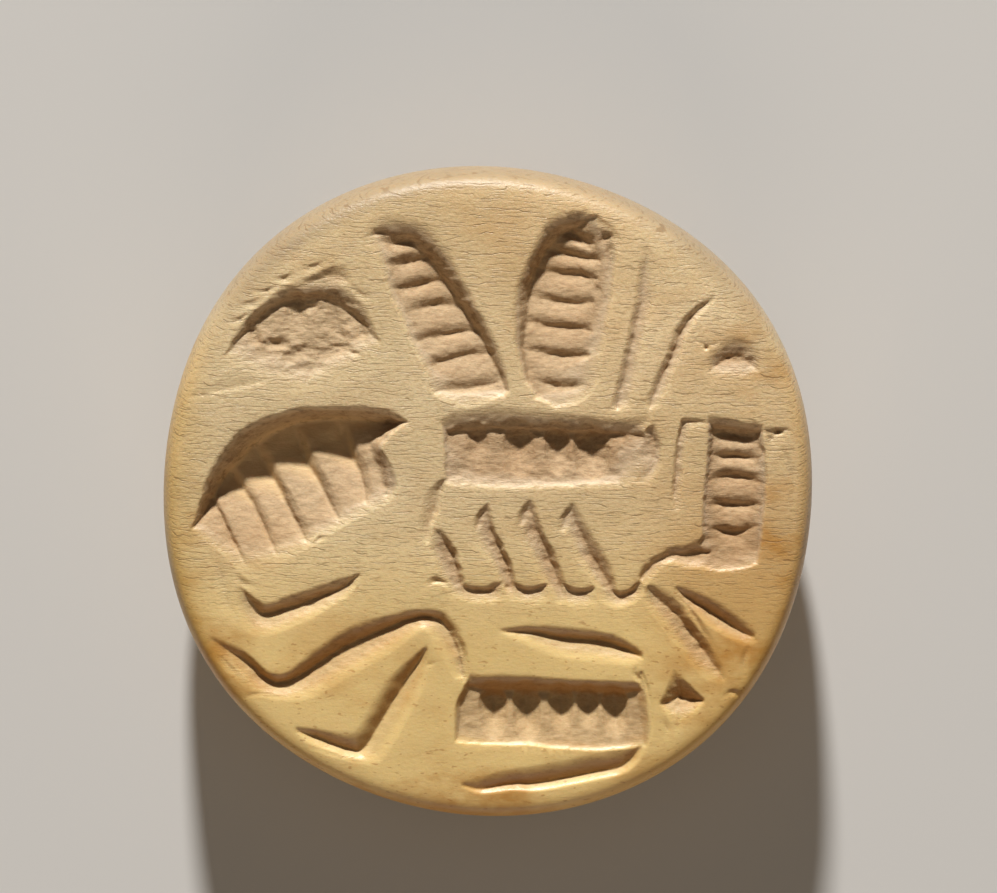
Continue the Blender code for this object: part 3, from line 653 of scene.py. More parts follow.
carving.chip([(8.8, -4.8), (9.35, -5.4), (9.9, -6.4), (10.5, -7.4)], 0.5, [0.08, 0.14, 0.1, 0.02])
carving.chip([(12, -7.3), (11.85, -8), (11.95, -8.7)], 0.4, [0.05, 0.1, 0.02])
carving.tell("bars and wedges")

# %% [markdown]
# ## The comb
# Between the bands stands a comb of four rounded tongues. They are the untouched face: only
# the slanting grooves between them and the scalloped cut under their ends were taken away.

# %% The comb
grooves = [
    (
        [(0.05, -0.45), (0.42, -1.7), (1.05, -3.05), (1.35, -3.9), (1.45, -4.8)],
        [(-0.1, -0.6), (0, -1.2), (0.3, -2.1), (0.87, -3.4), (1.1, -4.1), (1.15, -5)],
        [(-0.3, -0.7), (-0.8, -1.6), (-0.65, -2.3), (-0.2, -3), (0.15, -3.6), (0.4, -4.3), (0.7, -5)],
    ),
    (
        [(2.1, -0.25), (2.6, -1.7), (3.25, -3.05), (3.65, -4.1), (3.8, -5)],
        [(1.9, -0.4), (2.1, -1.3), (2.45, -2.1), (3.05, -3.55), (3.35, -4.4), (3.4, -5.2)],
        [(1.7, -0.5), (1.25, -1.5), (1.3, -2.3), (1.8, -2.9), (2.25, -3.7), (2.7, -4.6), (2.9, -5.2)],
    ),
    (
        [(4.05, -0.4), (4.75, -1.65), (5.6, -3.1), (6, -4.1), (6.1, -5)],
        [(3.85, -0.6), (4.05, -1.4), (4.82, -3), (5.25, -3.7), (5.7, -4.4), (5.75, -5.2)],
        [(3.6, -0.8), (3.4, -1.5), (3.6, -2.3), (4.1, -3.1), (4.6, -3.8), (5, -4.5), (5.2, -5.2)],
    ),
]
for edge, crease, end in grooves:
    carving.cut(
        edge, crease, end, [0.14, 0.22, 0.28, 0.32, 0.36, 0.34, 0.24, 0.04], lip=1.3, ramp=1.3,
        rough=0.8,
    )
for x, y in ((0.05, -0.45), (2.05, -0.25), (4.0, -0.4)):
    carving.cut(
        [(x, y), (x - 0.35, y - 0.2), (x - 0.68, y - 0.7), (x - 0.85, y - 1.35)],
        [(x - 0.02, y - 0.15), (x - 0.22, y - 0.42), (x - 0.45, y - 0.85), (x - 0.6, y - 1.4)],
        [(x, y - 0.2), (x - 0.05, y - 0.8), (x + 0.05, y - 1.2), (x + 0.05, y - 1.6)],
        [0.08, 0.19, 0.18, 0.06], lip=1.3, ramp=0.3, rough=0.8,
    )
ends = [
    (
        [(-1.5, -3.75), (-1, -4.05), (-0.35, -4.15), (0.2, -4.1), (0.75, -3.85)],
        [(-1.5, -4.05), (-0.97, -4.42), (-0.36, -4.55), (0.2, -4.48), (0.75, -4.15)],
        [(-2.2, -4.3), (-1.2, -5), (-0.3, -5.15), (0.4, -5.15), (1, -4.8)],
    ),
    (
        [(1.15, -3.85), (1.55, -4.12), (2.1, -4.2), (2.8, -3.95)],
        [(1.1, -4.15), (1.55, -4.48), (2.1, -4.55), (2.8, -4.22)],
        [(0.8, -4.7), (1.4, -5.1), (2.2, -5.25), (3, -4.9)],
    ),
    (
        [(3.4, -3.9), (3.85, -4.2), (4.4, -4.3), (5, -4.15)],
        [(3.35, -4.2), (3.8, -4.55), (4.35, -4.65), (4.95, -4.45)],
        [(3, -4.8), (3.6, -5.25), (4.4, -5.4), (5.2, -5.15)],
    ),
    (
        [(5.65, -3.9), (5.9, -4.3), (6.2, -4.45), (6.6, -4.3), (6.95, -3.95)],
        [(5.5, -4.1), (5.8, -4.6), (6.15, -4.8), (6.65, -4.6), (7.1, -4.15)],
        [(4.9, -4.4), (5.2, -5.1), (6, -5.35), (6.9, -5.05), (7.4, -4.5)],
    ),
]
for edge, crease, end in ends:
    edge = [(x, y - 0.12) for x, y in edge]
    carving.cut(edge, crease, end, [0.12, 0.22, 0.25, 0.22, 0.12], lip=1.5, rough=0.8, bare=0.85)
carving.cut(
    [(-2.1, -1.5), (-1.5, -2.4), (-1.25, -3), (-1.1, -3.6), (-0.95, -4.1), (-0.9, -4.7)],
    [(-2.3, -1.7), (-1.6, -3), (-1.3, -4.1), (-1.3, -4.9)],
    [(-2.6, -1.5), (-2.8, -2.4), (-2.5, -3.4), (-2, -4.3), (-1.9, -4.9)],
    [0.1, 0.28, 0.32, 0.32, 0.26, 0.04], rough=0.9,
)
carving.cut(
    [(-1.75, 0.7), (-1.95, -0.1), (-2.2, -0.9), (-2.45, -1.6), (-2.55, -2.4)],
    [(-2, 0.6), (-2.5, -0.9), (-2.7, -1.6), (-2.75, -2.4)],
    [(-2.2, 0.6), (-2.8, 0), (-3.1, -0.9), (-3.3, -1.8), (-3.1, -2.8)], [0.1, 0.22, 0.22, 0.18, 0.08],
    lip=1.3, rough=0.6, bare=0.4,
)
carving.chip([(-2.75, -4.25), (-2.4, -4.1), (-2, -4.15), (-1.6, -4.45)], 0.4, [0.03, 0.16, 0.12, 0.02])
carving.pit(0.95, -4.4, 0.2, 0.1, 0.06, 0.8)
carving.tell("comb")

# %% [markdown]
# ## The column and the small marks
# At the right a ladder of rungs goes down between two posts and runs out in a curved step.
# Round it lie lighter marks: two thin grooves, a small hump and a triangle.

# %% The column
carving.cut(
    [(9.8, 3.4), (10.5, 3.5), (11.7, 3.35), (12.8, 3.1)], [(9.9, 2.9), (10.6, 2.85), (12.7, 2.6)],
    [(9.6, -3.3), (10.4, -3.6), (11.6, -3.6), (12.6, -3.3), (13, -3.2)], [0.42, 0.46, 0.46, 0.42],
    lip=1.6, ramp=0.3, rough=0.5,
)
ribs(
    carving,
    [
        [(10.3, 2.62), (11.5, 2.45), (12.5, 2.3)], [(10.2, 1.6), (11.5, 1.5), (12.6, 1.5)],
        [(10.2, 0.5), (11.4, 0.62), (12.7, 0.4)], [(10.2, -0.65), (11.5, -0.65), (12.7, -0.7)],
        [(10.3, -1.75), (11.4, -1.98), (12.5, -1.6)], [(10.2, -3.4), (11.4, -3.6), (12.6, -3.4)],
    ],
    0.42, [0.03, 0.26, 0.3, 0.24, 0.03], rough=0.5,
)
carving.chip(
    [(10.22, 2.9), (10.3, 2), (10.2, 1), (10.1, -1), (10.05, -2.2), (10.2, -2.8)],
    [0.3, 0.4, 0.45, 0.4, 0.45, 0.4], [0.1, 0.14, 0.18, 0.16, 0.18, 0.1],
)
carving.chip(
    [(12.5, 2.7), (12.65, 1.8), (12.75, 0.8), (12.7, -0.2), (12.5, -2.6)],
    [0.3, 0.4, 0.45, 0.4, 0.45, 0.3], [0.1, 0.14, 0.16, 0.14, 0.12, 0.06],
)
carving.fence([(10.12, 3.9), (10.08, 1.5), (9.92, -0.5), (9.84, -2.1)], 1.5, 0.5)
carving.fence(
    [(12.45, -3.6), (12.6, -2.7), (12.8, -0.5), (12.9, 0.5), (12.84, 1.5), (12.7, 2.4), (12.75, 3.6)],
    1.5, 0.5,
)
carving.cut(
    [(6.85, -3.9), (7.1, -3.4), (7.4, -3.1), (7.9, -2.75), (8.4, -2.55), (9, -2.45), (9.5, -2.3),
     (10.1, -1.95), (10.3, -1.9)],
    [(7, -4.1), (7.3, -3.65), (7.65, -3.35), (8.2, -3), (8.6, -2.88), (9.1, -2.95), (10.3, -2.8)],
    [(7.2, -4.4), (7.6, -4), (8, -3.55), (8.5, -3.35), (9.2, -3.5), (10, -3.6), (10.8, -3.6)],
    [0.18, 0.2, 0.2, 0.2, 0.24, 0.34, 0.4], lip=1.3, rough=0.4,
)
carving.cut(
    [(8.9, 3.4), (8.62, 2), (8.5, 1), (8.45, 0.1), (8.6, -0.8)],
    [(9, 3.3), (8.75, 2), (8.62, 0.1), (8.7, -0.8)], [(9.5, 3.2), (9.2, 2), (8.9, -0.8)],
    [0.25, 0.2, 0.22, 0.22, 0.18, 0.06], lip=1.2, rough=1, bare=0.8,
)
carving.cut(
    [(8.9, 3.4), (9.4, 3.4), (10.2, 3.35)], [(8.95, 3.2), (9.45, 3.2), (10.1, 3.2)],
    [(9.1, 2.9), (9.5, 2.95), (10.1, 3.05)], [0.2, 0.12, 0.05], rough=0.8, bare=0.4,
)
carving.cut(
    [(12.6, 3), (13.2, 2.95), (14, 3)], [(12.65, 2.82), (13.2, 2.78), (13.9, 2.85)],
    [(12.6, 1.6), (13.2, 1.7), (13.8, 2.2)], [0.1, 0.13, 0.05], rough=1, bare=0.6,
)
carving.pit(13.4, 2.68, 0.28, 0.12, 0.14, 1)
carving.pit(13.05, 2.5, 0.2, 0.1, 0.08, 1)
carving.chip([(13.6, 2), (14.05, 0.5), (14.05, -1.1)], [0.4, 0.5, 0.4, 0.2], [0.04, 0.08, 0.06, 0.02])
carving.tell("column")

# %% The small marks
carving.cut(
    [(7.05, 11.3), (6.83, 9.8), (6.72, 8.6), (6.42, 7.4), (6.22, 6.4), (5.6, 3.8)],
    [(7.35, 11.2), (7.15, 9.8), (7.05, 8.6), (6.75, 7.4), (6.55, 6.4), (6.25, 5.2), (5.95, 3.8)],
    [(7.6, 11), (7.75, 9.8), (7.7, 8.6), (7.4, 7.4), (7, 5.2), (6.7, 3.8)],
    [0.04, 0.16, 0.2, 0.22, 0.22, 0.24, 0.2], lip=1, ramp=1.2, rough=0.6,
)
carving.cut(
    [(10.6, 9.2), (9.65, 8.65), (9, 8.1), (8.5, 7.35), (8.2, 6.5), (7.35, 4.6), (7.1, 3.9)],
    [(10.5, 8.95), (9.75, 8.4), (9.25, 7.85), (8.85, 7.2), (8.55, 6.4), (7.7, 4.5), (7.45, 3.8)],
    [(10.5, 8.75), (9.9, 8.2), (9.5, 7.7), (9.15, 7.1), (8.95, 6.3), (8.6, 5.4), (7.95, 3.8)],
    [0.03, 0.18, 0.24, 0.25, 0.25, 0.25, 0.22, 0.12], lip=1.3, ramp=1.2, rough=0.75,
)
carving.cut(
    [(9.8, 5.7), (10.3, 6.5), (11, 7.1), (11.6, 7.2), (12.2, 6.8), (12.7, 6)],
    [(10.1, 5.5), (10.7, 5.95), (11.2, 6.15), (11.7, 6.1), (12.5, 5.5)],
    [(10, 5), (10.7, 4.85), (11.3, 4.95), (11.9, 4.8), (12.6, 5.1)],
    [0.05, 0.26, 0.36, 0.36, 0.26, 0.05], lip=1.3, ramp=1.7, rough=0.9, bare=0.9,
)
carving.pit(10.02, 6.62, 0.16, 0.14, 0.18)
carving.cut(
    [(7.95, -9.75), (8.3, -8.95), (8.6, -8.2), (9.25, -8.8), (10.05, -9.6)],
    [(7.95, -9.85), (8.45, -9.8), (8.85, -9.6), (9.4, -9.75), (10.05, -9.7)],
    [(8, -10.1), (8.4, -10.7), (8.9, -11.1), (9.5, -10.5), (10.1, -9.8)], [0.08, 0.4, 0.5, 0.42, 0.08],
    lip=1, ramp=1.6, rough=0.9, bare=0.8, smooth=False,
)
carving.stroke([(8.65, -8.5), (8.85, -9.1), (8.95, -9.7)], 0.35, [0.02, 0.12, 0.08], rough=0.6)
carving.chip([(9.3, -10), (8.9, -10.5), (8.7, -11.1)], 0.5, [0.12, 0.1, 0.02])
carving.chip([(8.1, -10.6), (8.3, -11), (8.2, -11.4)], 0.5, [0.02, 0.08, 0.02])
carving.chip(
    [(6.9, -8.05), (6.85, -8.4), (7.15, -8.9), (7.25, -9.8)], [0.3, 0.45, 0.35, 0.2],
    [0.03, 0.14, 0.12, 0.05],
)
carving.stroke([(11, -9.5), (11.35, -9.3), (11.8, -9.55)], 0.4, [0.03, 0.1, 0.06], rough=0.9, add=False)
carving.stroke([(9.5, 6.9), (10, 6.75), (10.6, 6.8)], 0.14, 0.05, add=False)
carving.tell("small marks")

# %% [markdown]
# ## Torn bone, hollows and walls
# Where the gouge tore the bone, its floor is bumpy. Two further maps help the finish. One says
# where the surface is hollow and where it stands proud: it is the depth less the average depth
# round about. The finish darkens the hollows, as dirt and as painted shade, and lightens what
# stands proud, where hands polish it. The other marks the steep walls along the upper side of
# each cut, which face away from the raking lamp: the finish paints shade and light onto them.
# Every map is softened a little, and the depth most of all in the deepest hollow, whose floor
# is smooth.

# %% Torn floors
TORN_RELIEF = 0.08
WORN_RELIEF = 0.02


def torn_bone(x, y, rough):
    """Bone that split instead of being cut: chips and bumps, with thin creases between them."""
    chips = 0.7 * noise(x, y, 0.6, 0.34, 31, 2) + 0.55 * noise(x, y, 0.26, 0.14, 41, 2)
    line = np.abs(noise(x, y, 0.8, 0.36, 51, 3))
    creases = (1 - ease(0.0, 0.12, line)) * ease(0.3, 0.9, rough)
    return (0.12 + 0.88 * rough) * chips + 0.35 * creases


cut_share = ease(0.02, 0.25, carving.depth)
depth_map = carving.depth + TORN_RELIEF * torn_bone(drawn_x, drawn_y, carving.rough) * cut_share
depth_map = np.maximum(depth_map, 0) + WORN_RELIEF * noise(drawn_x, drawn_y, 2.6, 2.0, 71, 2)
print(f"carving up to {depth_map.max():.2f} mm deep over {(depth_map > 0.02).mean():.0%} of the map")

# %% The maps
def soften(field, times):
    """Blend every place with its neighbours, (before + 2 * itself + after) / 4, both ways."""
    for axis in (0, 1) * times:
        field = (np.roll(field, 1, axis) + 2 * field + np.roll(field, -1, axis)) / 4
    return field


def look_up(field, x, y):
    """The four values round a place, each weighted by how near it is."""
    u = np.clip((x - ticks[0]) / STEP, 0, len(ticks) - 1.001)
    v = np.clip((y - ticks[0]) / STEP, 0, len(ticks) - 1.001)
    i, j = u.astype(int), v.astype(int)
    s, t = u - i, v - j
    near_side = field[i, j] * (1 - s) + field[i + 1, j] * s
    far_side = field[i, j + 1] * (1 - s) + field[i + 1, j + 1] * s
    return near_side * (1 - t) + far_side * t


depth_map = soften(depth_map, 1)
deepest = ease(0.7, 1.1, depth_map)
depth_map = depth_map * (1 - deepest) + soften(depth_map, 7) * deepest
rough_map = soften(carving.rough, 4)
bare_map = soften(carving.bare, 3)
hollow_map = depth_map - soften(depth_map, 24)
# walls that face away from the raking lamp: the finish paints shade and light onto them by this map
shade_map = soften(ease(0.04, 0.5, -np.gradient(depth_map, STEP, axis=1)), 3)
print(f"hollows down to {hollow_map.max():.2f} mm below what is round them")

# %% [markdown]
# ## One closed surface
# The real piece is carved from one block, so it is one closed skin. The face is a square grid
# laid on a disc, which has no pole in the middle to pucker. The underside is a set of rings:
# they follow the oval boss, and then change step by step to the disc's outline. Both meet at
# the widest line of the rim, where one of the rings' edges spans SPAN of the face's edges.

# %% The face
FACE_COUNT = 561
SPAN = 4
MIDDLE = BOSS_HEIGHT + PLATE / 2


def disc_grid(count):
    """A square grid laid on a disc: x = u * sqrt(1 - v*v / 2), y = v * sqrt(1 - u*u / 2)."""
    u, v = np.meshgrid(*[np.linspace(-1, 1, count)] * 2, indexing="ij")
    return u * np.sqrt(1 - v**2 / 2), v * np.sqrt(1 - u**2 / 2)


def face_points(count):
    """Height: MIDDLE + rounded edge + FACE_CROWN * (1 - share^2) - depth of the carving."""
    u, v = disc_grid(count)
    reach, angle = np.hypot(u, v), np.arctan2(v, u)
    length, shares, edges = profile()
    share, edge = np.interp(reach, length, shares), np.interp(reach, length, edges)
    radius = share * RADIUS * rim_share(angle)
    x, y = radius * np.cos(angle), radius * np.sin(angle)
    z = MIDDLE + edge + FACE_CROWN * (1 - share**2) - look_up(depth_map, x, y)
    return np.stack([x, y, z], axis=-1)


def border(count):
    """The grid's outer points, in order round its edge, as indices."""
    index = np.arange(count * count).reshape(count, count)
    return np.concatenate([index[:-1, 0], index[-1, :-1], index[:0:-1, -1], index[0, :0:-1]])


face = face_points(FACE_COUNT).reshape(-1, 3)
rim_line = border(FACE_COUNT)
print(f"face grid of {len(face)} points, {len(rim_line)} of them round the rim")

# %% The underside
BOSS_FOOT = (13.0, 8.5)
BOSS_FLARE = 0.14 / (BOSS_HEIGHT + 1)
BOSS_BEVEL = 0.5
BOSS_FILLET = 0.45
BEND_RINGS, SIDE_RINGS, PLATE_RINGS = 8, 9, 44


def underside_points(angle):
    """Rings from the boss's flat foot, round its bevel, up its flaring side and out to the rim.

    foot: a * b / sqrt((b * cos)^2 + (a * sin)^2), an oval's radius in a direction
    side: foot * (1 + BOSS_FLARE * z); bevel and fillet: quarter circles
    plate: MIDDLE - rounded edge - BACK_CROWN * (1 - share^2)
    """
    a, b = BOSS_FOOT[0] / 2, BOSS_FOOT[1] / 2
    foot = a * b / np.hypot(b * np.cos(angle), a * np.sin(angle))
    rim = RADIUS * rim_share(angle)
    root = BOSS_HEIGHT - BACK_CROWN * (1 - (foot / rim) ** 2)
    turn = np.linspace(0, np.pi / 2, BEND_RINGS)[:, None]
    flat = np.array([0.4, 0.8])[:, None]
    rise = np.linspace(0.1, 0.95, SIDE_RINGS)[:, None]
    low_z = BOSS_BEVEL * (1 - np.cos(turn))
    side_z = BOSS_BEVEL + (root - BOSS_FILLET - BOSS_BEVEL) * rise
    high_z = root - BOSS_FILLET * (1 - np.sin(turn))
    inset, outset = BOSS_BEVEL * (1 - np.sin(turn)), BOSS_FILLET * (1 - np.cos(turn))
    start = foot * (1 + BOSS_FLARE * root) + BOSS_FILLET
    shares = np.interp(np.linspace(0.03, 0.99, PLATE_RINGS), *profile()[:2])[:, None]
    plate = start + (rim - start) * shares
    share = plate / rim
    edge = PLATE / 2 * (1 - share**RIM_FLATNESS) ** (1 / RIM_ROUNDNESS)
    radius = np.concatenate([
        (foot - BOSS_BEVEL) * flat,
        foot * (1 + BOSS_FLARE * low_z) - inset,
        foot * (1 + BOSS_FLARE * side_z),
        foot * (1 + BOSS_FLARE * high_z) + outset,
        plate,
    ])
    z = np.concatenate([
        0 * flat * foot,
        low_z + 0 * foot,
        side_z,
        high_z,
        MIDDLE - edge - BACK_CROWN * (1 - share**2),
    ])
    return np.stack([radius * np.cos(angle), radius * np.sin(angle), z], axis=-1)


under_rim = rim_line[::SPAN]
underside = underside_points(np.arctan2(face[under_rim, 1], face[under_rim, 0]))
print("the underside has {} rings of {} points".format(*underside.shape))

# %% Join the two
def in_frame(points):
    """From the design's millimetres, about its own middle, to the frame's metres."""
    return (points - [*middle, 0]) * MM


def joined_faces(first, rings, columns):
    """Quads between rings, a fan at the middle, and faces of SPAN + 3 corners along the rim."""
    ring = first + 1 + np.arange(rings * columns).reshape(rings, columns)
    after = np.roll(ring, -1, axis=1)
    quads = np.stack([ring[:-1], after[:-1], after[1:], ring[1:]], axis=-1).reshape(-1, 4)
    fan = np.stack([np.full(columns, first), after[0], ring[0]], axis=-1)
    steps = (np.arange(columns)[:, None] * SPAN + np.arange(SPAN, -1, -1)) % len(rim_line)
    stitches = np.column_stack([ring[-1], after[-1], rim_line[steps]])
    return quads, fan, stitches


index = np.arange(FACE_COUNT**2).reshape(FACE_COUNT, FACE_COUNT)
face_quads = np.stack([index[:-1, :-1], index[1:, :-1], index[1:, 1:], index[:-1, 1:]], axis=-1)
quads, fan, stitches = joined_faces(len(face), *underside.shape[:2])
points = in_frame(np.concatenate([face, [[0, 0, 0]], underside.reshape(-1, 3)]))
groups = [face_quads.reshape(-1, 4), quads, fan, stitches]
corners = np.concatenate([group.ravel() for group in groups])
sides = np.concatenate([np.full(len(group), group.shape[1]) for group in groups])

mesh = bpy.data.meshes.new("carved_bone")
mesh.vertices.add(len(points))
mesh.vertices.foreach_set("co", points.ravel())
mesh.loops.add(len(corners))
mesh.loops.foreach_set("vertex_index", corners)
mesh.polygons.add(len(sides))
mesh.polygons.foreach_set("loop_start", np.cumsum(sides) - sides)
mesh.update(calc_edges=True)
carved = bpy.data.objects.new("carved_bone", mesh)
bpy.context.scene.collection.objects.link(carved)
print(f"{len(points)} points, {len(sides)} faces, valid: {not mesh.validate()}")

# %% [markdown]
# ## The cord hole
# A hand drill went in from both ends of the boss until the two holes met, so the hole is
# widest at its mouths and narrowest halfway. The drill is a profile carried along the X axis,
# for Boolean to take away. Decimate comes first: it merges points where the surface is plain,
# and keeps them where the carving needs them.
#
# A known fault: Boolean only takes away what points outwards, and this drill's faces point
# inwards. So the hole is filled twice instead of opened, and both its mouths stay closed. With
# the order of the corners in quads and caps reversed, the hole opens.

# %% Drill the hole
HOLE_HEIGHT = 1.75
HOLE_RADIUS = 1.05
MOUTH_WIDENING = 0.3
HALF_BOSS = 7
OUT_OF_LINE = 0.1
TRIANGLES_BEFORE_DRILLING = 186000


def drill_points(x, angle):
    """Radius: HOLE_RADIUS + MOUTH_WIDENING * (x / HALF_BOSS)^2; its middle: OUT_OF_LINE * tanh(x)."""
    radius = HOLE_RADIUS + MOUTH_WIDENING * (x / HALF_BOSS) ** 2
    y = radius * np.cos(angle) + OUT_OF_LINE * np.tanh(x)
    return np.stack([x + 0 * angle, y, HOLE_HEIGHT + radius * np.sin(angle)], axis=-1)


def tube(name, points):
    """A closed tube: rows of points along it, round it in columns, and a cap at each end.

    Its faces point inwards when its rows go along +X and its columns turn from +Y to +Z.
    """
    rows, columns = points.shape[:2]
    ring = np.arange(rows * columns).reshape(rows, columns)
    after = np.roll(ring, -1, axis=1)
    quads = np.stack([ring[:-1], ring[1:], after[1:], after[:-1]], axis=-1).reshape(-1, 4)
    caps = [ring[0].tolist(), ring[-1][::-1].tolist()]
    mesh = bpy.data.meshes.new(name)
    mesh.from_pydata(in_frame(points.reshape(-1, 3)).tolist(), [], quads.tolist() + caps)
    made = bpy.data.objects.new(name, mesh)
    bpy.context.scene.collection.objects.link(made)
    return made


round_it = np.linspace(0, 2 * np.pi, 48, endpoint=False)
drill = tube("drill", drill_points(np.linspace(-9.5, 9.5, 39)[:, None], round_it[None, :]))

thin = carved.modifiers.new("merge plain places", "DECIMATE")
mesh.calc_loop_triangles()
thin.ratio = TRIANGLES_BEFORE_DRILLING / len(mesh.loop_triangles)
bore = carved.modifiers.new("cord hole", "BOOLEAN")
bore.operation = "DIFFERENCE"
bore.solver = "MANIFOLD"
bore.object = drill
ready = carved.evaluated_get(bpy.context.evaluated_depsgraph_get())
finished = bpy.data.meshes.new_from_object(ready)
finished.name = "seal_carved"
bpy.data.objects.remove(carved)
bpy.data.objects.remove(drill)
finished.shade_smooth()
finished.calc_loop_triangles()
seal = bpy.data.objects.new("seal_carved", finished)
bpy.context.scene.collection.objects.link(seal)
print(f"{len(finished.vertices)} points, {len(finished.loop_triangles)} triangles")

# %% Note the carving on the points
places = np.empty(len(finished.vertices) * 3, dtype=np.float32)
finished.vertices.foreach_get("co", places)
px, py, pz = (places.reshape(-1, 3) / MM + [*middle, 0]).T
on_face = ease(MIDDLE, MIDDLE + 0.5, pz)


def note(name, field):
    """A named attribute that the finish can read: the map's value at each point of the face."""
    attribute = finished.attributes.new(name, "FLOAT", "POINT")
    attribute.data.foreach_set("value", (look_up(field, px, py) * on_face).astype(np.float32))


maps = {"cut": depth_map, "torn": rough_map, "bare": bare_map, "hollow": hollow_map, "shade": shade_map}
for name, field in maps.items():
    note(name, field)
print("noted", ", ".join(maps))

# %% [markdown]
# ## Shader sums as Python
# Each material works out its numbers for every place on the surface. This class wraps a
# node's output, so that an expression such as 1 - worn * 0.5 adds the Math nodes for itself.
# Any other node comes from its one method, node, which sets the node's own settings first,
# then the numbers and links of its inputs.

# %% A value on the surface
class Value:
    """A value that changes over a surface: one output of a node."""

    def __init__(self, tree, socket=None):
        self.tree, self.socket = tree, socket

    def node(self, kind, inputs=(), output=0, **settings):
        """A new node's output: its settings come first, then its inputs' numbers and links."""
        made = self.tree.nodes.new(kind)
        for name, setting in settings.items():
            setattr(made, name, setting)
        for name, value in dict(inputs).items():
            if isinstance(value, Value):
                self.tree.links.new(value.socket, made.inputs[name])
            else:
                made.inputs[name].default_value = value
        return Value(self.tree, made.outputs[output] if made.outputs else None)

    def maths(self, operation, *values):
        """A Math node: one operation on numbers and values."""
        return self.node("ShaderNodeMath", enumerate(values), operation=operation)

    def __add__(self, other):
        return self.maths("ADD", self, other)

    def __sub__(self, other):
        return self.maths("SUBTRACT", self, other)

    def __rsub__(self, other):
        return self.maths("SUBTRACT", other, self)

    def __mul__(self, other):
        return self.maths("MULTIPLY", self, other)

    def __truediv__(self, other):
        return self.maths("DIVIDE", self, other)

    __radd__, __rmul__ = __add__, __mul__

    def size(self):
        """The value without its sign."""
        return self.maths("ABSOLUTE", self)

    def root(self):
        """Its square root."""
        return self.maths("SQRT", self)

    def fraction(self):
        """What is left of it above the whole number below."""
        return self.maths("FRACT", self)

    def least(self, other):
        """The smaller of the two."""
        return self.maths("MINIMUM", self, other)

    def most(self, other):
        """The larger of the two."""
        return self.maths("MAXIMUM", self, other)

    def ramp(self, start, end, low_value=0.0, high_value=1.0):
        """A smooth step from low_value at start to high_value at end."""
        limits = {"From Min": start, "From Max": end, "To Min": low_value, "To Max": high_value}
        inputs = {"Value": self, **limits}
        return self.node("ShaderNodeMapRange", inputs, interpolation_type="SMOOTHSTEP")

    def stretched(self, across, along, up, shift=(0.0, 0.0, 0.0)):
        """Object coordinates in millimetres, multiplied by a number for each axis."""
        inputs = {"Vector": self, "Scale": (across / MM, along / MM, up / MM), "Location": shift}
        return self.node("ShaderNodeMapping", inputs)

    def cloud(self, detail=3.0, roughness=0.5):
        """Perlin noise from 0 to 1 at these coordinates."""
        inputs = {"Vector": self, "Scale": 1.0, "Detail": detail, "Roughness": roughness}
        return self.node("ShaderNodeTexNoise", inputs)

    def blend(self, start, end):
        """A colour between start and end, by this value from 0 to 1."""
        return self.node("ShaderNodeMix", {0: self, 6: start, 7: end}, 2, data_type="RGBA")


def colour(red, green, blue):
    """A screen colour, 0 to 255, as light: ((c + 0.055) / 1.055) ^ 2.4."""
    return tuple(((c / 255 + 0.055) / 1.055) ** 2.4 for c in (red, green, blue)) + (1.0,)


def new_finish(name):
    """An empty node material, and a Value to build its nodes from."""
    material = bpy.data.materials.new(name)
    material.use_nodes = True
    material.node_tree.nodes.clear()
    return material, Value(material.node_tree)


print(f"half of full screen brightness is {colour(128, 128, 128)[0]:.2f} of the light")

# %% [markdown]
# ## Bone
# Polished bone is yellow and a little translucent. Fine canals run along it and show at the
# surface as short dark hairlines. Handling and burial stained it orange-brown in patches,
# most of all near the rim. Where the gouge tore it, it is paler and pinker, and dull. The
# creases are darkened, as dirt and as painted shade, and edges that stand proud are rubbed
# light and glossy. Light and shade are painted into the colour as well: warm, mottled painted
# shade on the walls that face away from the raking lamp, painted light on the upper walls and
# the deepest floors, a painted highlight on the lips of the upper cuts, and painted shade on
# the top rim, which faces the lamp.

# %% The bone's marks
bone, v = new_finish("old bone")
spot = v.node("ShaderNodeTexCoord", output="Object")
across, height, rise = (v.node("ShaderNodeSeparateXYZ", {0: spot}, output=axis) / MM for axis in "XYZ")
cut, torn, raw, hollow, shade = (
    v.node("ShaderNodeAttribute", output="Fac", attribute_name=name) for name in maps
)


def canal_rows(rows, tilt, wander, seed, width, gap):
    """Thin dark dashes: the middle of each period of rows * (y + tilt * x + 0.4 * z) + clouds.

    wander is how far the first cloud bends the rows. Where the last one is below gap, they break.
    """
    slow = spot.stretched(0.3, 0.75, 0.75, (seed, 0, 0)).cloud(detail=2.0)
    quick = spot.stretched(1.6, 1.2, 1.2, (seed, 5, 0)).cloud(detail=2.0)
    row = (height + across * tilt + rise * 0.4) * rows + slow * wander + quick * 0.7
    line = 1 - (row.fraction() - 0.5).size().ramp(width * 0.3, width)
    broken = spot.stretched(1.1, 3.0, 3.0, (seed + 3, 0, 0)).cloud(detail=1.0).ramp(gap, gap + 0.1)
    return line * broken


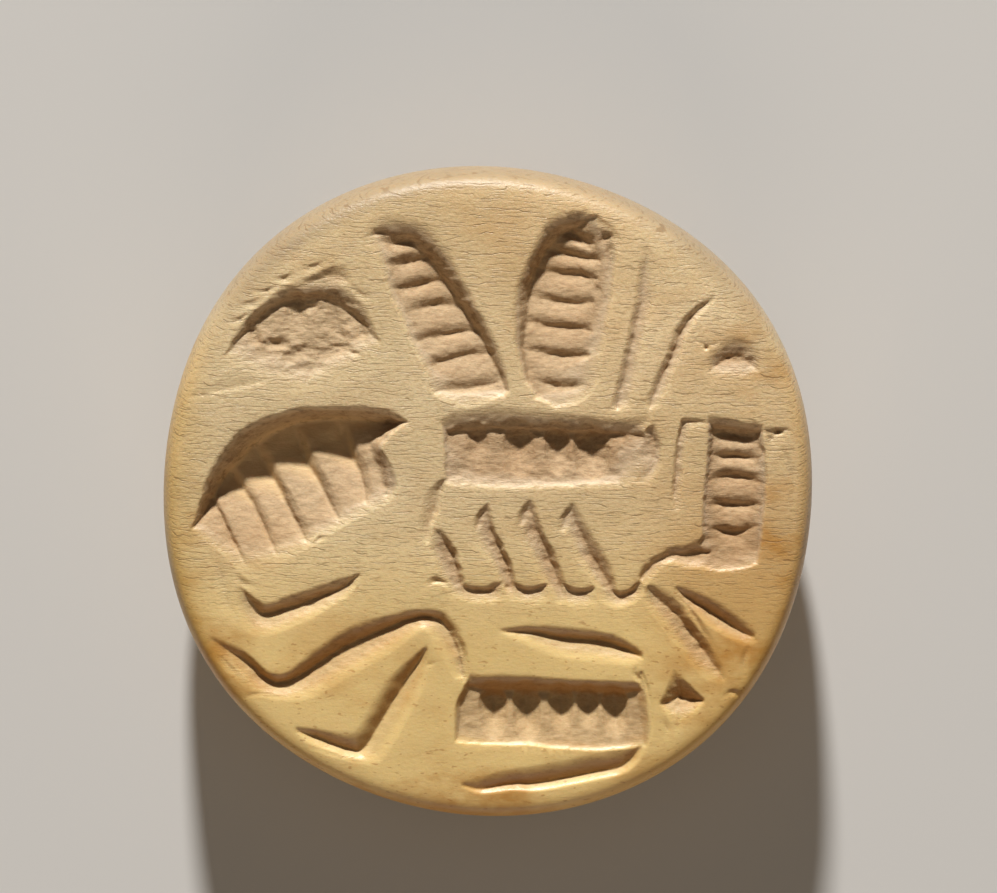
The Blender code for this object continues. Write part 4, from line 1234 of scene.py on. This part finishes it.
canals = canal_rows(2.5, 0.05, 2.4, 0.0, 0.085, 0.48)
canals = canals.most(canal_rows(3.5, -0.02, 3.0, 9.0, 0.11, 0.5) * 0.7)
canals = canals.most(canal_rows(5.4, 0.02, 4.0, 17.0, 0.14, 0.46) * 0.7)
canals = canals * height.ramp(-6.8, -2.5, 0.1, 1.0) * (1 - raw * 0.7)
grain = spot.stretched(3.6, 6.5, 6.5).cloud(detail=4.0, roughness=0.7)
broad = spot.stretched(0.13, 0.2, 0.2, (5, 2, 0)).cloud(detail=3.0)
stain_cloud = spot.stretched(0.18, 0.3, 0.3, (2, 7, 1)).cloud(detail=5.0, roughness=0.6)
specks = spot.stretched(2.6, 6.5, 6.5, (4, 1, 0)).cloud(detail=1.0).ramp(0.66, 0.74)
away = (across * across + height * height).root()
rim_near = away.ramp(10.5, 14.4)
rim_edge = away.ramp(13.9, 14.9)
print(f"the marks take {len(bone.node_tree.nodes)} nodes")

# %% The bone's colour
def coat(base, layers):
    """Lay colours over a base, one after another, each by its own share from 0 to 1."""
    for share, tint in layers:
        base = share.blend(base, colour(*tint))
    return base


lower = height.ramp(1.0, -7.5)
warm = (across.ramp(-7.0, 12.0) * 0.75 + height.ramp(5.0, 13.0) * 0.45).least(1.0)
shoulders = height.ramp(3.0, 9.0) * across.size().ramp(4.0, 9.0)
corner_x, corner_y = across - 12.5, height + 4.5
far_corner = (corner_x * corner_x + corner_y * corner_y).root()
stains = stain_cloud.ramp(0.45, 0.7) * (0.2 + 0.2 * lower + rim_near * height.ramp(14.0, 4.0, 0.1, 0.6))
stains = (stains + far_corner.ramp(7.0, 0.5) * 0.5).least(0.9)
flecks = spot.stretched(5.5, 8.0, 8.0, (3, 8, 0)).cloud(roughness=0.7)
polished = coat(warm.blend(colour(231, 209, 167), colour(222, 189, 140)), (
    (shoulders * 0.65, (250, 228, 186)),
    (lower, (235, 203, 135)),
    (broad.ramp(0.35, 0.65) * (0.35 - 0.2 * lower), (190, 162, 113)),
    (grain.ramp(0.35, 0.7) * 0.4 * (1 - lower * 0.6), (226, 200, 154)),
    (stains, (188, 134, 62)),
    (rim_edge * height.ramp(10.0, 0.0, 0.0, 0.55), (206, 154, 70)),
    # painted shade: the top rim, which faces the raking lamp, is painted darker grey
    (rim_edge * height.ramp(4.0, 12.0) * 0.85, (142, 123, 96)),
    (across.ramp(-12.0, -14.6) * 0.5, (196, 156, 72)),
    (specks * lower * 0.45, (156, 92, 30)),
    (flecks.ramp(0.4, 0.7) * (0.35 - 0.27 * lower), (176, 143, 94)),
    (canals * 0.5, (116, 84, 46)),
))
print(f"with the polished bone, {len(bone.node_tree.nodes)} nodes")

# %% Bare bone, walls, dirt, and painted light and shade
fibre = spot.stretched(2.0, 9.0, 9.0, (1, 4, 2)).cloud(detail=6.0, roughness=0.7)
# a cloud for mottles of painted shade on the walls that face away from the lamp
shade_mottle = spot.stretched(1.6, 3.2, 3.2, (8, 2, 5)).cloud(detail=5.0, roughness=0.7)
split = grain.ramp(0.3, 0.7)
smooth_cream = split.blend(colour(150, 119, 80), colour(173, 141, 102))
torn_cream = split.blend(colour(162, 131, 97), colour(190, 160, 124))
cream = coat(torn.ramp(0.0, 0.4).blend(smooth_cream, torn_cream), (
    (stain_cloud.ramp(0.42, 0.62) * torn * 0.5, (158, 112, 66)),
    (fibre.ramp(0.52, 0.38) * torn * 0.6, (118, 84, 48)),
    (lower * torn * 0.22, (218, 180, 130)),
))
honey = raw * cut.ramp(0.3, 0.15) * (1 - torn) * lower * stain_cloud.ramp(0.42, 0.55)
# darkening of the hollows: part dirt, part painted shade
crease = hollow.ramp(0.015, 0.2) * cut.ramp(0.5, 1.1, 1.0, 0.15)
proud = (0 - hollow).ramp(0.04, 0.2)
base = coat((raw * (0.65 + 0.25 * torn)).blend(polished, cream), (
    (honey * 0.6, (216, 160, 84)),
    # painted highlight: pale lips where the upper cuts run out
    (raw * cut.ramp(0.3, 0.12) * (1 - lower) * 0.45, (228, 205, 172)),
    # painted light: the walls facing away from the lamp in the upper half are painted lighter
    (shade * (1 - lower) * cut.ramp(0.5, 1.0) * 0.5, (206, 172, 122)),
    # painted light: the deepest floors, which lie in the leaf's shadow, are painted lighter
    (cut.ramp(0.85, 1.25) * 0.8, (222, 188, 138)),
    # painted shade: dark mottles only on the walls facing away from the lamp
    (shade * shade_mottle.ramp(0.48, 0.64) * 0.5, (104, 72, 38)),
    # dirt and painted shade: the creases and hollows are darkened
    (crease * (0.45 + 0.2 * lower), (128, 80, 34)),
    # painted shade: a warm golden tint on the walls facing away from the lamp, most in the lower half
    (shade * (0.12 + 0.6 * lower), (162, 104, 26)),
    (proud * 0.3 * (1 - raw), (232, 206, 158)),
))
print(f"with every colour, {len(bone.node_tree.nodes)} nodes")

# %% The bone's gloss and relief
skin = spot.stretched(4.4, 6.5, 6.5, (6, 4, 2)).cloud(detail=5.0, roughness=0.65)
relief = fibre * torn * 0.05 + skin * (0.036 - 0.02 * lower) - canals * 0.009
lips = raw * cut.ramp(0.25, 0.1) * (1 - torn)
gloss = 0.38 + 0.38 * raw * cut.ramp(0.06, 0.3) + 0.12 * (grain - 0.5) - 0.14 * proud
gloss = gloss - 0.1 * lips

bump = v.node("ShaderNodeBump", {"Height": relief * MM, "Strength": 1.0, "Distance": 1.0})
shader = v.node("ShaderNodeBsdfPrincipled", {
    "Base Color": base,
    "Roughness": gloss,
    "Normal": bump,
    "Subsurface Weight": 0.15,
    "Subsurface Radius": (1.0, 0.5, 0.25),
    "Subsurface Scale": 0.5 * MM,
    "IOR": 1.5,
})
v.node("ShaderNodeOutputMaterial", {"Surface": shader})
finished.materials.clear()
finished.materials.append(bone)
print(f"the whole finish takes {len(bone.node_tree.nodes)} nodes")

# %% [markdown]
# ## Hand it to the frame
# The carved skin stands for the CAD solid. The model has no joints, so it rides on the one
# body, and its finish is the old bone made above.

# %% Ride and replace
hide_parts("seal")
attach(seal, "root")
print(seal.name, "stands for the solid seal")

# %% [markdown]
# ## Floor, light and camera
# The seal lies on its boss on a plain pale floor. Relief this shallow only reads when light
# rakes across it, so the main lamp stands low beyond the seal's upper edge, small enough for
# clear shadows in the cuts. A broad lamp overhead fills them softly, and a warm card low on
# the near side lights the walls of the lower cuts.

# %% Floor
FLOOR = 600 * MM

floor_mesh = bpy.data.meshes.new("floor")
floor_corners = [(x * FLOOR, y * FLOOR, 0) for x, y in ((-1, -1), (1, -1), (1, 1), (-1, 1))]
floor_mesh.from_pydata(floor_corners, [], [(0, 1, 2, 3)])
floor = bpy.data.objects.new("floor", floor_mesh)
bpy.context.scene.collection.objects.link(floor)
pale, v = new_finish("pale floor")
shader = v.node("ShaderNodeBsdfPrincipled", {"Base Color": colour(205, 203, 200), "Roughness": 0.8})
v.node("ShaderNodeOutputMaterial", {"Surface": shader})
floor_mesh.materials.append(pale)
print(f"a floor {2 * FLOOR:.1f} m wide")

# %% Lights
TOP = Vector((0, 0, high[2] * MM))


def lamp(name, turn, rise, distance, size, power, tint):
    """A round lamp aimed at the face, turn degrees from +Y towards +X and rise degrees up."""
    light = bpy.data.lights.new(name, "AREA")
    light.shape = "DISK"
    light.size = size
    light.energy = power
    light.color = tint
    made = bpy.data.objects.new(name, light)
    turn, rise = np.radians(turn), np.radians(rise)
    flat = np.cos(rise)
    towards = Vector((np.sin(turn) * flat, np.cos(turn) * flat, np.sin(rise)))
    made.location = TOP + towards * distance
    made.rotation_euler = towards.to_track_quat("Z", "Y").to_euler()
    bpy.context.scene.collection.objects.link(made)
    print(f"{name}: {power} W from {distance} m")


lamp("raking lamp", turn=-4, rise=23, distance=1.2, size=0.09, power=25.5, tint=(1.0, 0.985, 0.96))
lamp("overhead fill", turn=0, rise=80, distance=0.6, size=0.5, power=0.15, tint=(1.0, 0.9, 0.8))
lamp("low card", turn=180, rise=24, distance=0.6, size=0.4, power=1.0, tint=(1.0, 0.8, 0.58))
world = bpy.data.worlds.new("studio air")
world.use_nodes = True
world.node_tree.nodes["Background"].inputs["Color"].default_value = (1.0, 0.95, 0.88, 1.0)
world.node_tree.nodes["Background"].inputs["Strength"].default_value = 0.05
bpy.context.scene.world = world

# %% Camera
LEAN = np.radians(8)
DISTANCE = 255 * MM
WIDTH = 45.9 * MM
ASIDE, ABOVE = 0.5 * MM, 2.08 * MM
SENSOR = 36.0

camera_data = bpy.data.cameras.new("camera")
camera_data.sensor_width = SENSOR
camera_data.lens = SENSOR * DISTANCE / WIDTH
camera_data.clip_start = 0.01
camera = bpy.data.objects.new("camera", camera_data)
back = Vector((0, np.sin(LEAN), np.cos(LEAN)))
up = Vector((0, np.cos(LEAN), -np.sin(LEAN)))
target = Vector((-middle[0], -middle[1], MIDDLE)) * MM + Vector((ASIDE, 0, 0)) + up * ABOVE
camera.location = target + back * DISTANCE
camera.rotation_euler = (-LEAN, 0, 0)
bpy.context.scene.collection.objects.link(camera)
bpy.context.scene.camera = camera
bpy.context.scene.view_settings.view_transform = "Standard"
print(f"a {camera_data.lens:.0f} mm lens sees {WIDTH / MM} mm from {DISTANCE / MM:.0f} mm away")
